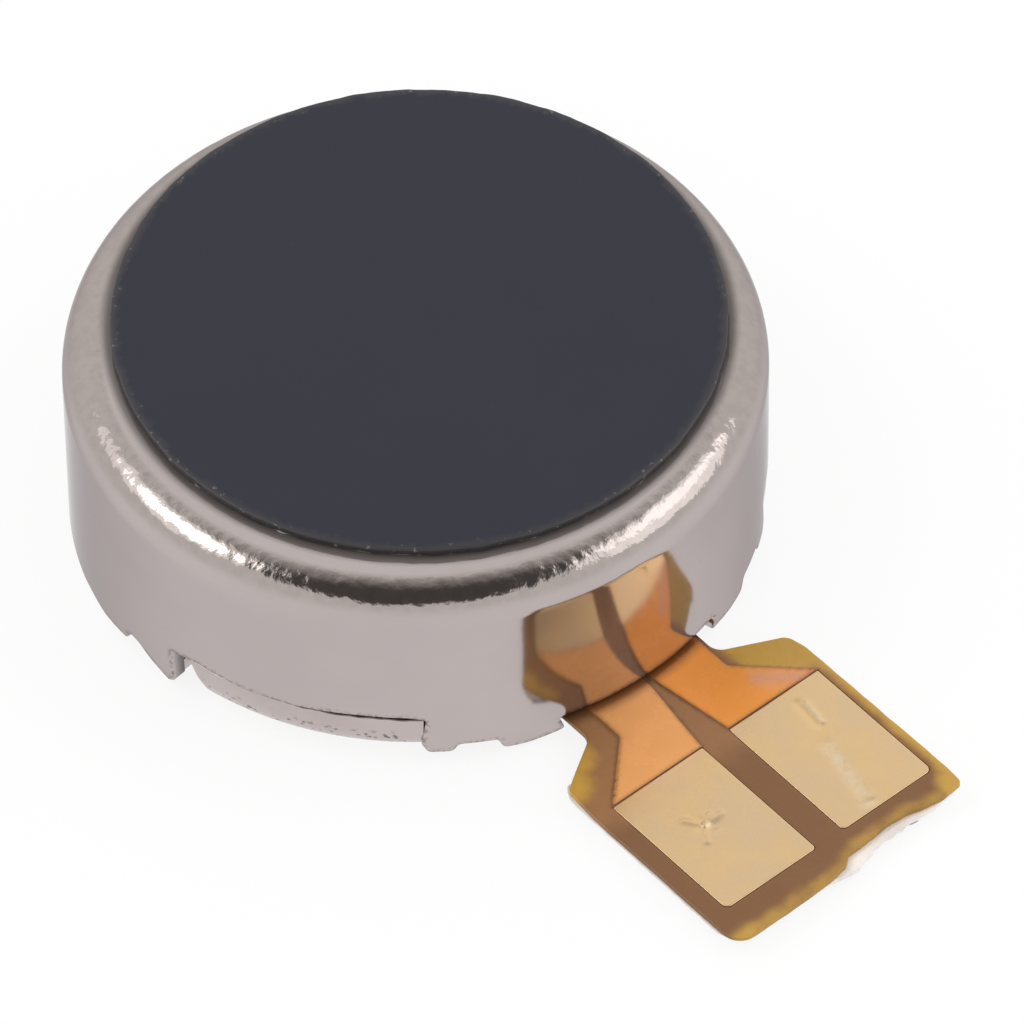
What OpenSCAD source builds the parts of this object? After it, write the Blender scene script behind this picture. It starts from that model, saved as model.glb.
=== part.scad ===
// Coin vibration motor: an eccentric rotor on a fixed shaft inside a drawn steel case,
// with a flexible printed tail that ends in two contact pads.
// Millimetres. The origin is on the motor axis at the underside of the bracket, +Z points
// to the black pad on the closed end, and the tail leaves along +X.

/* [Case] */
// Outside diameter of the case
case_d = 10; // [8:0.1:14]
// Height of the case above the bracket's underside
case_h = 3.35; // [2.7:0.05:5]
// Thickness of the drawn case wall
case_wall = 0.25; // [0.2:0.01:0.35]
// Outside radius of the shoulder between wall and closed end
shoulder_r = 0.55; // [0.4:0.01:0.6]
// Height of the full rim above the bracket's underside
rim_lift = 0.04; // [0.02:0.01:0.1]

/* [Rim cut-outs] */
// Space on each side of the tail's neck in the slot that it leaves through
slot_side_clear = 0.05; // [0.02:0.01:0.1]
// Space above the tail in its slot
slot_top_clear = 0.07; // [0.02:0.01:0.15]
// Angle where the low skirt beside the slot ends
skirt_to = 26; // [25:0.5:30]
// Lift of the low skirt
skirt_lift = 0.10; // [0.04:0.01:0.2]
// Angle where the shallow relief ends
relief_to = 34; // [31:0.5:36]
// Lift of the rim in the shallow relief
relief_lift = 0.31; // [0.2:0.01:0.4]
// Angle where the stop tab ends and the bracket's window starts
window_from = 39; // [37:0.5:44]
// Lift of the stop tab
tab_lift = 0.17; // [0.04:0.01:0.3]
// Angle where the bracket's window ends
window_to = 85; // [70:0.5:90]
// Height of the window that the bracket's lug stands in
window_h = 0.86; // [0.7:0.01:1]
// Angle where the raised tooth beyond the window ends
tooth_to = 95; // [92:0.5:110]
// Lift of the tooth's edge
tooth_lift = 0.27; // [0.1:0.01:0.4]

/* [Bracket] */
// Thickness of the bracket plate
bracket_t = 0.25; // [0.2:0.01:0.35]
// Outside radius of the bend from the plate up into a lug
lug_bend_r = 0.62; // [0.4:0.01:0.62]
// Angle left open between the lug and the far end of its window
lug_open_angle = 6.5; // [1:0.5:8]
// Height of the boss that holds the shaft, above the plate
boss_h = 0.70; // [0.5:0.01:0.8]
// Wall of the boss around the shaft
boss_wall = 0.30; // [0.2:0.01:0.35]

/* [Shaft and bearing] */
// Diameter of the fixed shaft
shaft_d = 0.80; // [0.6:0.01:1]
// Depth of the seat for the shaft's tip in the closed end
shaft_seat = 0.12; // [0.05:0.01:0.15]
// Radial running clearance between shaft and bearing
bearing_clear = 0.015; // [0.01:0.001:0.03]
// Wall of the sintered bearing
bearing_wall = 0.335; // [0.25:0.005:0.4]
// Thickness of each thrust washer
washer_t = 0.10; // [0.05:0.01:0.15]
// Free axial play at each end of the bearing
end_play = 0.03; // [0.02:0.005:0.05]

/* [Magnet] */
// Diameter of the magnet's bore
magnet_bore_d = 3.70; // [3:0.05:4]
// Thickness of the ring magnet
magnet_t = 0.75; // [0.5:0.01:0.9]
// Radial gap between magnet and case
magnet_side_gap = 0.55; // [0.3:0.01:0.8]
// Thickness of the adhesive under the magnet
magnet_glue_t = 0.03; // [0.02:0.01:0.05]
// Radial width of the cogging plate
cogging_w = 1.7; // [1:0.05:2]

/* [Rotor] */
// Gap between the magnet and the rotor's board
air_gap = 0.20; // [0.15:0.01:0.3]
// Gap between the rotor and the closed end
rotor_top_gap = 0.30; // [0.2:0.01:0.4]
// Radial gap between the rotor and the case
rotor_side_gap = 0.30; // [0.2:0.01:0.5]
// Half of the angle that the rotor's fan covers
fan_half_angle = 105; // [98:1:120]
// Angle from the heavy side's middle line to each coil
coil_angle = 68; // [64:1:70]
// Wall of the resin hub around the bearing
hub_wall = 0.55; // [0.4:0.01:0.6]
// Web of resin left between a coil and the hub or the rim
coil_web = 0.12; // [0.08:0.01:0.2]
// Radius of the resin post in the middle of each coil
coil_core_r = 0.50; // [0.3:0.01:0.6]
// Drop of each coil's top below the resin
coil_drop = 0.10; // [0.05:0.01:0.2]
// Radial depth of the counterweight
weight_depth = 2.5; // [1:0.05:2.6]

/* [Commutator and brushes] */
// Thickness of the commutator board
board_t = 0.15; // [0.1:0.01:0.2]
// Number of commutator segments
segment_count = 6; // [6:2:12]
// Radial width of the commutator track
track_w = 0.60; // [0.5:0.01:0.7]
// Thickness of the commutator's plating
segment_t = 0.03; // [0.02:0.005:0.05]
// Gap between neighbouring segments
segment_gap = 0.12; // [0.08:0.01:0.2]
// Ring of bare board between bearing and track
track_inset = 0.15; // [0.1:0.01:0.2]
// Width of each brush
brush_w = 0.40; // [0.3:0.01:0.45]
// Thickness of the brush strip
brush_t = 0.06; // [0.04:0.01:0.08]
// Slit between the two tines of a brush
brush_slit = 0.10; // [0.06:0.01:0.12]
// Length of the foot that is soldered down
brush_foot = 0.48; // [0.3:0.01:0.5]
// Space between the brush tips and the commutator
brush_gap = 0.012; // [0.01:0.001:0.02]

/* [Flexible tail] */
// Thickness of the base film
base_film_t = 0.05; // [0.03:0.005:0.06]
// Thickness of the copper traces
trace_t = 0.02; // [0.015:0.001:0.03]
// Thickness of the cover film, traces included
cover_film_t = 0.05; // [0.04:0.005:0.06]
// Border of film outside the pads on the -Y side
border_near = 0.31; // [0.1:0.01:0.6]
// Border of film outside the pads on the +Y side
border_far = 0.19; // [0.1:0.01:0.6]
// Border of film past the pads at the end of the tail
border_end = 0.59; // [0.2:0.01:1]
// Width of the neck from its centre line to the edge on the -Y side
neck_near = 1.34; // [1.2:0.01:1.4]
// Width of the neck from its centre line to the edge on the +Y side
neck_far = 1.06; // [1.06:0.01:1.3]
// Length of the neck outside the case
neck_len = 0.26; // [0.2:0.01:1]
// Length over which the neck widens into the tail
flare_len = 0.50; // [0.4:0.01:0.8]
// Thickness of the stiffener under the tail
stiffener_t = 0.15; // [0.1:0.01:0.2]
// Thickness of the adhesive under the stiffener
tail_glue_t = 0.07; // [0.03:0.01:0.08]
// Amount by which the stiffener stands out past the film
stiffener_lip = 0.04; // [0:0.01:0.08]

/* [Contact pads] */
// Length of each contact pad
pad_len = 2.41; // [2:0.01:3]
// Width of each contact pad
pad_w = 1.66; // [1:0.01:1.8]
// Gap between the two contact pads
pad_gap = 0.50; // [0.3:0.01:0.6]
// Distance from the widening of the neck to the pads
pad_setback = 0.69; // [0.2:0.01:1.5]
// Thickness of each pad's plated copper
pad_t = 0.035; // [0.02:0.001:0.045]

/* [Black pad] */
// Diameter of the black pad on the closed end
disc_d = 8.75; // [6:0.05:9]
// Thickness of the black pad
disc_t = 0.11; // [0.05:0.01:0.3]
// Thickness of the adhesive under the black pad
disc_glue_t = 0.04; // [0.02:0.01:0.06]
// Amount by which the adhesive stays back from the pad's edge
disc_glue_inset = 0.06; // [0.02:0.01:0.2]
// Offset of the black pad from the motor axis along X
disc_off_x = -0.16; // [-0.2:0.01:0.2]
// Offset of the black pad from the motor axis along Y
disc_off_y = 0.22; // [-0.25:0.01:0.25]

/* [Hidden] */
$fn = 96;

// Length by which a cutting block runs past the face that it cuts
cut = 1;
// Straight steps in each rounded corner of an outline
arc_steps = 6;

// Case and bracket
inner_shoulder_extra = 0.05;
seat_clear = 0.02;
case_r = case_d / 2;
case_ri = case_r - case_wall;
ceiling = case_h - case_wall;
inner_shoulder_r = shoulder_r - case_wall + inner_shoulder_extra;
plate_clear = 0.05;
plate_r = case_ri - plate_clear;
lug_clear = 0.02;
lug_top_clear = 0.035;
lug_side_angle = 0.7;
lug_root = 0.05;
lug_from = window_from + lug_side_angle;
lug_to = window_to - lug_open_angle;
lug_r = case_r - lug_clear;
shaft_r = shaft_d / 2;
boss_r = shaft_r + boss_wall;
boss_top = bracket_t + boss_h;
shaft_tip = ceiling + shaft_seat - seat_clear;

// Levels of the flexible circuit, from the bracket up, and the slot that it leaves through
film_z = bracket_t;
copper_z = film_z + base_film_t;
trace_top = copper_z + trace_t;
flex_top = copper_z + cover_film_t;
slot_h = flex_top + slot_top_clear;
slot_to = asin((max(neck_near, neck_far) + slot_side_clear) / case_ri);

// Magnet and what lies under it
magnet_glue_inset = 0.05;
cogging_inset = 0.15;
cogging_bore_step = 0.05;
cogging_neck_clear = 0.15;
cogging_notch_share = 0.45;
cogging_notch_out = 0.30;
magnet_z = flex_top + magnet_glue_t;
magnet_top = magnet_z + magnet_t;
magnet_ro = case_ri - magnet_side_gap;
magnet_ri = magnet_bore_d / 2;
cogging_ro = magnet_ro - cogging_inset;
cogging_ri = max(cogging_ro - cogging_w, magnet_ri + cogging_bore_step);

// Rotor stack
board_hub_border = 0.25;
board_inset = 0.05;
coil_floor = 0.06;
weight_clear = 0.08;
weight_end_angle = 4;
weight_hub_gap = 0.10;
lead_joint_r = 0.16;
lead_joint_h = 0.11;
lead_joint_angles = [-54, -18, 18, 54];
board_z = magnet_top + air_gap;
board_top = board_z + board_t;
rotor_top = ceiling - rotor_top_gap;
rotor_r = case_ri - rotor_side_gap;
bearing_ri = shaft_r + bearing_clear;
bearing_r = bearing_ri + bearing_wall;
bearing_z = boss_top + washer_t + end_play;
bearing_top = ceiling - washer_t - end_play;
hub_r = bearing_r + hub_wall;
track_ri = bearing_r + track_inset;
track_ro = track_ri + track_w;
board_hub_r = track_ro + board_hub_border;
coil_r = (rotor_r - hub_r) / 2 - coil_web;
coil_centre = (rotor_r + hub_r) / 2;
weight_half_angle = coil_angle - weight_end_angle;
weight_ri = max(rotor_r - weight_depth, hub_r + weight_hub_gap);

// Brushes
brush_hub_gap = 0.05;
brush_tip_half = 0.14;
slit_root = 0.10;
flex_bore_gap = 0.15;
foot_edge = 0.10;
foot_joint_inset = 0.02;
foot_joint_h = 0.14;
brush_y = bearing_r + brush_hub_gap + brush_w / 2;
track_mid = (track_ri + track_ro) / 2;
tip_x = -sqrt(track_mid * track_mid - brush_y * brush_y);
flex_disc_r = magnet_ri - flex_bore_gap;
foot_y_out = brush_y + brush_w / 2;
foot_end = sqrt(flex_disc_r * flex_disc_r - foot_y_out * foot_y_out) - foot_edge;
foot_start = foot_end - brush_foot;
foot_z = trace_top;
tip_z = board_z - segment_t - brush_gap;

// Tail and pads
pad_clear = 0.02;
film_boss_gap = 0.05;
land_boss_gap = 0.08;
land_margin = 0.04;
land_corner = 0.30;
land_overlap = 0.40;
window_margin = 0.05;
window_side_margin = 0.03;
window_out_margin = 0.01;
window_run_out = 0.07;
trace_edge = 0.06;
trace_run = 0.29;
trace_split_back = 0.06;
stiffener_back = 0.08;
neck_corner_r = 0.20;
neck_corner_far_r = 0.22;
tail_corner_near_r = 0.32;
tail_corner_far_r = 0.26;
backing_corner_r = 0.12;
backing_corner_extra = 0.02;
neck_end = case_r + neck_len;
tail_start = neck_end + flare_len;
pad_start = tail_start + pad_setback;
pad_end = pad_start + pad_len;
pad_in = pad_gap / 2;
pad_out = pad_in + pad_w;
tail_end = pad_end + border_end;
tail_near = pad_out + border_near;
tail_far = pad_out + border_far;
trace_out = min(neck_near, neck_far) - trace_edge;
trace_kink = neck_end + trace_run;
trace_start = neck_end - trace_split_back;
stiffener_z = film_z - stiffener_t;
tail_glue_z = stiffener_z - tail_glue_t;
stiffener_start = tail_start - stiffener_back;

// A wedge-shaped block from one angle to another, for cutting rings into sectors
module wedge(from, to, reach, z0, z1) {
    mid = (from + to) / 2;
    far_r = reach / cos((to - from) / 4);
    translate([0, 0, z0])
        linear_extrude(z1 - z0)
            polygon([[0, 0], [reach * cos(from), reach * sin(from)],
                [far_r * cos((from + mid) / 2), far_r * sin((from + mid) / 2)],
                [reach * cos(mid), reach * sin(mid)],
                [far_r * cos((mid + to) / 2), far_r * sin((mid + to) / 2)],
                [reach * cos(to), reach * sin(to)]]);
}

// A flat ring
module ring(ro, ri, z0, z1) {
    translate([0, 0, z0])
        difference() {
            cylinder(r = ro, h = z1 - z0);
            translate([0, 0, -cut])
                cylinder(r = ri, h = z1 - z0 + 2 * cut);
        }
}

// The half section of a turned block with one rounded upper outer corner
module round_top_section(r, h, corner) {
    square([r - corner, h]);
    square([r, h - corner]);
    translate([r - corner, h - corner])
        circle(r = corner, $fn = 48);
}

// Points of the arc that rounds corner b between its neighbours a and c
function unit(v) = v / norm(v);
function corner_arc(a, b, c, r) =
    let (to_a = unit([a.x - b.x, a.y - b.y]), to_c = unit([c.x - b.x, c.y - b.y]),
        half = acos(to_a * to_c) / 2,
        centre = [b.x, b.y] + unit(to_a + to_c) * r / sin(half),
        first = [b.x, b.y] + to_a * r / tan(half) - centre,
        last = [b.x, b.y] + to_c * r / tan(half) - centre,
        start = atan2(first.y, first.x),
        turn = atan2(first.x * last.y - first.y * last.x, first * last))
    [for (i = [0 : arc_steps])
        centre + r * [cos(start + turn * i / arc_steps), sin(start + turn * i / arc_steps)]];

// A polygon whose corners are [x, y, radius]
module rounded_polygon(corners) {
    n = len(corners);
    polygon([for (i = [0 : n - 1])
        let (b = corners[i])
        each b.z == 0 ? [[b.x, b.y]]
            : corner_arc(corners[(i + n - 1) % n], b, corners[(i + 1) % n], b.z)]);
}

// ---- Case, bracket, shaft ----

module case() {
    color("silver")
        difference() {
            rotate_extrude()
                difference() {
                    round_top_section(case_r, case_h, shoulder_r);
                    translate([0, -cut])
                        round_top_section(case_ri, ceiling + cut, inner_shoulder_r);
                }
            translate([0, 0, -cut])
                cylinder(r = case_r + cut, h = cut + rim_lift);
            translate([0, 0, ceiling - cut])
                cylinder(r = shaft_r + seat_clear, h = cut + shaft_seat);
            rim_cut(-slot_to, slot_to, slot_h);
            for (side = [-1, 1]) {
                rim_cut(side * slot_to, side * skirt_to, skirt_lift);
                rim_cut(side * skirt_to, side * relief_to, relief_lift);
                rim_cut(side * relief_to, side * window_from, tab_lift);
                rim_cut(side * window_from, side * window_to, window_h);
                rim_cut(side * window_to, side * tooth_to, tooth_lift);
            }
        }
}

// One cut into the rim, between two angles, up to height h
module rim_cut(from, to, h) {
    wedge(min(from, to), max(from, to), case_r + cut, -cut, h);
}

module bracket() {
    color("lightgrey")
        difference() {
            union() {
                difference() {
                    cylinder(r = plate_r, h = bracket_t);
                    for (side = [-1, 1])
                        sector(side * window_from, side * window_to)
                            ring(case_r, lug_r - lug_bend_r - lug_root, -cut, window_h);
                }
                for (side = [-1, 1])
                    sector(side * lug_from, side * lug_to)
                        rotate_extrude()
                            lug_section();
                cylinder(r = boss_r, h = boss_top);
            }
            translate([0, 0, -cut])
                cylinder(r = shaft_r, h = boss_top + 2 * cut);
        }
}

// What is left of its children between two angles
module sector(from, to) {
    intersection() {
        children();
        wedge(min(from, to), max(from, to), case_r + cut, -2 * cut, window_h + cut);
    }
}

// Section of the plate's edge where it bends up into a lug
module lug_section() {
    bend_x = lug_r - lug_bend_r;
    inner = bend_x - lug_root;
    top = window_h - lug_top_clear;
    translate([inner, 0])
        square([lug_root, bracket_t]);
    intersection() {
        translate([bend_x, lug_bend_r])
            difference() {
                circle(r = lug_bend_r);
                circle(r = lug_bend_r - bracket_t);
            }
        translate([bend_x, 0])
            square(lug_bend_r);
    }
    translate([lug_r - bracket_t, lug_bend_r])
        square([bracket_t, top - lug_bend_r]);
}

module shaft() {
    color("gainsboro")
        cylinder(r = shaft_r, h = shaft_tip);
}

module lower_washer() {
    color("dimgray")
        ring(boss_r, shaft_r + seat_clear, boss_top, boss_top + washer_t);
}

module upper_washer() {
    color("dimgray")
        ring(boss_r, shaft_r + seat_clear, ceiling - washer_t, ceiling);
}

// ---- Magnet ----

module ring_magnet() {
    color("slategray")
        ring(magnet_ro, magnet_ri, magnet_z, magnet_top);
}

module magnet_adhesive() {
    color("honeydew")
        ring(magnet_ro - magnet_glue_inset, magnet_ri + magnet_glue_inset, flex_top, magnet_z);
}

// Steel plate that parks the rotor clear of its dead point: a C round the flexible circuit
module cogging_plate() {
    gap_angle = asin((neck_near + cogging_neck_clear) / cogging_ri);
    notch_depth = (cogging_ro - cogging_ri) * cogging_notch_share;
    color("darkgray")
        difference() {
            ring(cogging_ro, cogging_ri, film_z, flex_top);
            wedge(-gap_angle, gap_angle, cogging_ro + cut, 0, magnet_z);
            for (angle = [90, 180, 270])
                rotate(angle)
                    translate([cogging_ro + cogging_notch_out, 0, 0])
                        cylinder(r = notch_depth + cogging_notch_out, h = magnet_z);
        }
}

// ---- Flexible circuit ----

// Outline of both films: a disc round the boss, a neck and the wide tail
module flex_outline() {
    difference() {
        union() {
            circle(r = flex_disc_r);
            rounded_polygon([
                [0, -neck_near, 0],
                [neck_end, -neck_near, neck_corner_r],
                [tail_start, -tail_near, neck_corner_r],
                [tail_end, -tail_near, tail_corner_near_r],
                [tail_end, tail_far, tail_corner_far_r],
                [tail_start, tail_far, neck_corner_far_r],
                [neck_end, neck_far, neck_corner_far_r],
                [0, neck_far, 0]]);
        }
        circle(r = boss_r + film_boss_gap);
    }
}

// Outline of one copper trace on the +Y side, from brush land to pad
module trace_outline() {
    land_in = max(brush_y - brush_w / 2, boss_r + land_boss_gap);
    difference() {
        union() {
            polygon([
                [flex_disc_r - land_overlap, trace_edge],
                [trace_start, trace_edge],
                [pad_start, pad_in],
                [pad_start, pad_out],
                [trace_kink, trace_out],
                [foot_end, trace_out],
                [foot_end, trace_edge + land_corner]]);
            translate([foot_start - land_margin, land_in])
                square([brush_foot + 2 * land_margin, foot_y_out - land_in]);
        }
        circle(r = boss_r + land_boss_gap);
    }
}

// One trace at its own level, on the side that +1 or -1 gives
module trace(side) {
    translate([0, 0, copper_z])
        linear_extrude(trace_t)
            mirror([0, side > 0 ? 0 : 1])
                trace_outline();
}

// The block that one contact pad fills, grown on all sides but its height
module pad_block(side, z0, z1, grow) {
    translate([pad_start - grow, side > 0 ? pad_in - grow : -pad_out - grow, z0])
        cube([pad_len + 2 * grow, pad_w + 2 * grow, z1 - z0]);
}

module flex_base_film() {
    color("goldenrod")
        translate([0, 0, film_z])
            linear_extrude(base_film_t)
                flex_outline();
}

// Cover film, open over the pads and over the brush feet
module flex_cover_film() {
    color("darkorange")
        difference() {
            translate([0, 0, copper_z])
                linear_extrude(cover_film_t)
                    flex_outline();
            for (side = [-1, 1]) {
                trace(side);
                pad_block(side, copper_z - cut, flex_top + cut, pad_clear);
                foot_window(side);
            }
        }
}

// Opening in the cover film for one brush foot
module foot_window(side) {
    mirror([0, side > 0 ? 0 : 1])
        translate([foot_start - window_margin, brush_y - brush_w / 2 - window_side_margin,
            copper_z - cut])
            cube([window_margin + brush_foot + window_run_out,
                window_side_margin + brush_w + window_out_margin, 3 * cut]);
}

module flex_trace_positive() {
    color("chocolate")
        trace(1);
}

module flex_trace_negative() {
    color("chocolate")
        trace(-1);
}

module contact_pad_positive() {
    color("khaki")
        pad_block(1, copper_z, copper_z + pad_t, 0);
}

module contact_pad_negative() {
    color("khaki")
        pad_block(-1, copper_z, copper_z + pad_t, 0);
}

// Outline of what backs the tail, with a lip past the film's edge
module backing_outline(lip) {
    rounded_polygon([
        [stiffener_start, -tail_near - lip, backing_corner_r],
        [tail_end + lip, -tail_near - lip, tail_corner_near_r + backing_corner_extra],
        [tail_end + lip, tail_far, tail_corner_far_r + backing_corner_extra],
        [stiffener_start, tail_far, backing_corner_r]]);
}

module tail_stiffener() {
    color("burlywood")
        translate([0, 0, stiffener_z])
            linear_extrude(stiffener_t)
                backing_outline(stiffener_lip);
}

module tail_adhesive() {
    color("whitesmoke")
        translate([0, 0, tail_glue_z])
            linear_extrude(tail_glue_t)
                backing_outline(0);
}

// ---- Brushes ----

// Side section of a brush: foot, sloping arm and a tip that turns level under the track
module brush_section() {
    polygon([
        [foot_end, foot_z],
        [foot_end, foot_z + brush_t],
        [foot_start, foot_z + brush_t],
        [tip_x + brush_tip_half, tip_z],
        [tip_x - brush_tip_half, tip_z],
        [tip_x - brush_tip_half - brush_t, tip_z - 2 * brush_t],
        [tip_x - brush_tip_half, tip_z - 2 * brush_t],
        [tip_x - brush_tip_half + brush_t / 2, tip_z - brush_t],
        [tip_x + brush_tip_half, tip_z - brush_t],
        [foot_start, foot_z]]);
}

// One brush, split into two tines from its tip to short of its foot
module brush(side) {
    mirror([0, side > 0 ? 0 : 1])
        difference() {
            translate([0, brush_y + brush_w / 2, 0])
                rotate([90, 0, 0])
                    linear_extrude(brush_w)
                        brush_section();
            translate([tip_x - cut, brush_y - brush_slit / 2, foot_z - cut])
                cube([foot_start - slit_root - tip_x + cut, brush_slit, 3 * cut]);
        }
}

module brush_positive() {
    color("gold")
        brush(1);
}

module brush_negative() {
    color("gold")
        brush(-1);
}

// A low dome of solder of radius r and height h
module solder_dome(r, h) {
    sphere_r = (r * r + h * h) / (2 * h);
    intersection() {
        translate([0, 0, h - sphere_r])
            sphere(r = sphere_r);
        cylinder(r = r + cut, h = h + cut);
    }
}

module brush_solder() {
    dome_r = brush_w / 2 - foot_joint_inset;
    color("lightsteelblue")
        for (side = [-1, 1])
            translate([(foot_start + foot_end) / 2, side * brush_y, foot_z + brush_t])
                solder_dome(dome_r, foot_joint_h);
}

// ---- Black pad on the closed end ----

module top_pad() {
    color([0.16, 0.16, 0.19])
        translate([disc_off_x, disc_off_y, case_h + disc_glue_t])
            cylinder(r = disc_d / 2, h = disc_t);
}

module top_pad_adhesive() {
    color("ivory")
        translate([disc_off_x, disc_off_y, case_h])
            cylinder(r = disc_d / 2 - disc_glue_inset, h = disc_glue_t);
}

// ---- Rotor ----

module bearing() {
    color("peru")
        ring(bearing_r, bearing_ri, bearing_z, bearing_top);
}

// The fan that the resin and the board share, heavy side towards -X
module fan(r, hub, z0, z1) {
    intersection() {
        translate([0, 0, z0])
            cylinder(r = r, h = z1 - z0);
        wedge(180 - fan_half_angle, 180 + fan_half_angle, r + cut, z0 - cut, z1 + cut);
    }
    translate([0, 0, z0])
        cylinder(r = hub, h = z1 - z0);
}

// Moves its children to one coil's centre
module coil_place(side) {
    rotate(180 - side * coil_angle)
        translate([coil_centre, 0, 0])
            children();
}

// The round coil on one side
module coil_ring(side, z0, z1) {
    coil_place(side)
        ring(coil_r, coil_core_r, z0, z1);
}

// The counterweight's sector of a ring, cut clear of both coils
module weight_block(z0, z1) {
    difference() {
        intersection() {
            ring(rotor_r, weight_ri, z0, z1);
            wedge(180 - weight_half_angle, 180 + weight_half_angle, rotor_r + cut,
                z0 - cut, z1 + cut);
        }
        for (side = [-1, 1])
            coil_place(side)
                translate([0, 0, z0 - cut])
                    cylinder(r = coil_r + weight_clear, h = z1 - z0 + 2 * cut);
    }
}

module rotor_resin() {
    color("cornsilk")
        difference() {
            fan(rotor_r, hub_r, board_top, rotor_top);
            translate([0, 0, board_top - cut])
                cylinder(r = bearing_r, h = rotor_top);
            coil_ring(1, board_top + coil_floor, rotor_top + cut);
            coil_ring(-1, board_top + coil_floor, rotor_top + cut);
            weight_block(board_top - cut, rotor_top + cut);
        }
}

module counterweight() {
    color("gray")
        weight_block(board_top, rotor_top);
}

module commutator_board() {
    color("darkgreen")
        difference() {
            fan(rotor_r - board_inset, board_hub_r, board_z, board_top);
            translate([0, 0, board_z - cut])
                cylinder(r = bearing_r, h = board_t + 2 * cut);
        }
}

// Plated segments under the board: a ring parted by straight gaps
module commutator_segments() {
    color("gold")
        difference() {
            ring(track_ro, track_ri, board_z - segment_t, board_z);
            for (i = [0 : segment_count - 1])
                rotate((i + 0.5) * 360 / segment_count)
                    translate([0, -segment_gap / 2, board_z - cut])
                        cube([track_ro + cut, segment_gap, 2 * cut]);
        }
}

module coil_a() {
    color("chocolate")
        coil_ring(1, board_top + coil_floor, rotor_top - coil_drop);
}

module coil_b() {
    color("chocolate")
        coil_ring(-1, board_top + coil_floor, rotor_top - coil_drop);
}

// Joints of the coil leads on the bare part of the board
module coil_solder() {
    color("lightsteelblue")
        for (angle = lead_joint_angles)
            rotate(angle)
                translate([(hub_r + board_hub_r) / 2, 0, board_top])
                    solder_dome(lead_joint_r, lead_joint_h);
}

case();
bracket();
shaft();
lower_washer();
upper_washer();
ring_magnet();
magnet_adhesive();
cogging_plate();
flex_base_film();
flex_cover_film();
flex_trace_positive();
flex_trace_negative();
contact_pad_positive();
contact_pad_negative();
tail_stiffener();
tail_adhesive();
brush_positive();
brush_negative();
brush_solder();
top_pad();
top_pad_adhesive();
bearing();
rotor_resin();
counterweight();
commutator_board();
commutator_segments();
coil_a();
coil_b();
coil_solder();
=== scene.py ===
"""Looks of a coin vibration motor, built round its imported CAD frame.

Lengths are in millimetres until a mesh is made. Meshes are in metres, in the frame's own axes:
the origin is on the motor's axis at the underside of the bracket, +Z points to the black pad and
the flexible tail leaves along +X.
"""
import logging
import math
from abc import ABC, abstractmethod
from dataclasses import dataclass, field
from enum import Enum
from typing import Callable, Sequence

import bmesh
import bpy
import numpy as np
from mathutils import Matrix, Vector, noise
from mathutils.geometry import delaunay_2d_cdt
from mathutils.kdtree import KDTree


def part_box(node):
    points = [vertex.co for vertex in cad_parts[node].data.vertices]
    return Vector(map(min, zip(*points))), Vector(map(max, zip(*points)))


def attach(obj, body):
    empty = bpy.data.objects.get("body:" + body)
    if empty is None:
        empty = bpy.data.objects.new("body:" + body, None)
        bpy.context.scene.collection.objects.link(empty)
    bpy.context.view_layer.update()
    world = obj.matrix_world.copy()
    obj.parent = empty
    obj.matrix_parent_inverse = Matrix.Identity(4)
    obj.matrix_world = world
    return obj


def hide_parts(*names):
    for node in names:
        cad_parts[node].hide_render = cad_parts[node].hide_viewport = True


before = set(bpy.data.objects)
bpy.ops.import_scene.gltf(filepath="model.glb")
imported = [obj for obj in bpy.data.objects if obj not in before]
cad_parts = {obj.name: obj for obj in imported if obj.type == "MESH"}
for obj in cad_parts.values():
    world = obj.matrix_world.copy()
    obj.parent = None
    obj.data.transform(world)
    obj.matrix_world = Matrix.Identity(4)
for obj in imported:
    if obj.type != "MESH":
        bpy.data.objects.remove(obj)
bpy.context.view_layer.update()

LOG = logging.getLogger("coin_motor")
MM = 0.001
MERGE = 6e-8
SMOOTH_ANGLE = math.radians(38)

Colour = tuple[float, float, float]
Plan = Callable[[np.ndarray], np.ndarray]
Place = Callable[[np.ndarray, np.ndarray], np.ndarray]


class Body(Enum):
    """The two bodies that the pieces ride on."""

    STATOR = "stator"
    ROTOR = "rotor"


class Grain(Enum):
    """How the surface of a finish is worked, seen close up."""

    SATIN = "satin"
    DRAWN = "drawn"
    SINTERED = "sintered"
    POLISHED = "polished"


# ---- Points, outlines and noise ----


def srgb(red: int, green: int, blue: int) -> Colour:
    """Linear colour of a screen colour.

    Args:
        red: Red, from 0 to 255.
        green: Green, from 0 to 255.
        blue: Blue, from 0 to 255.

    Returns:
        The three linear values that a shader takes.
    """
    def linear(value: int) -> float:
        """One channel made linear."""
        share = value / 255
        return share / 12.92 if share <= 0.04045 else ((share + 0.055) / 1.055) ** 2.4

    return linear(red), linear(green), linear(blue)


def smoothstep(low: float, high: float, values: np.ndarray) -> np.ndarray:
    """Smooth ramp from 0 at low to 1 at high."""
    share = np.clip((values - low) / (high - low), 0, 1)
    return share * share * (3 - 2 * share)


def arc(centre: Sequence[float], radius: float, start: float, end: float, step: float) -> np.ndarray:
    """Points along an arc, both ends included.

    Args:
        centre: Centre of the arc.
        radius: Radius of the arc.
        start: First angle in degrees.
        end: Last angle in degrees; below start the arc runs clockwise.
        step: Longest distance between neighbours.

    Returns:
        The points, one row each.
    """
    count = max(2, math.ceil(abs(math.radians(end - start)) * radius / step) + 1)
    angles = np.radians(np.linspace(start, end, count))
    return np.stack([centre[0] + radius * np.cos(angles), centre[1] + radius * np.sin(angles)], 1)


def polar(radius: float, angle: float) -> np.ndarray:
    """The point at a radius and an angle in degrees."""
    return radius * np.array([math.cos(math.radians(angle)), math.sin(math.radians(angle))])


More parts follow.
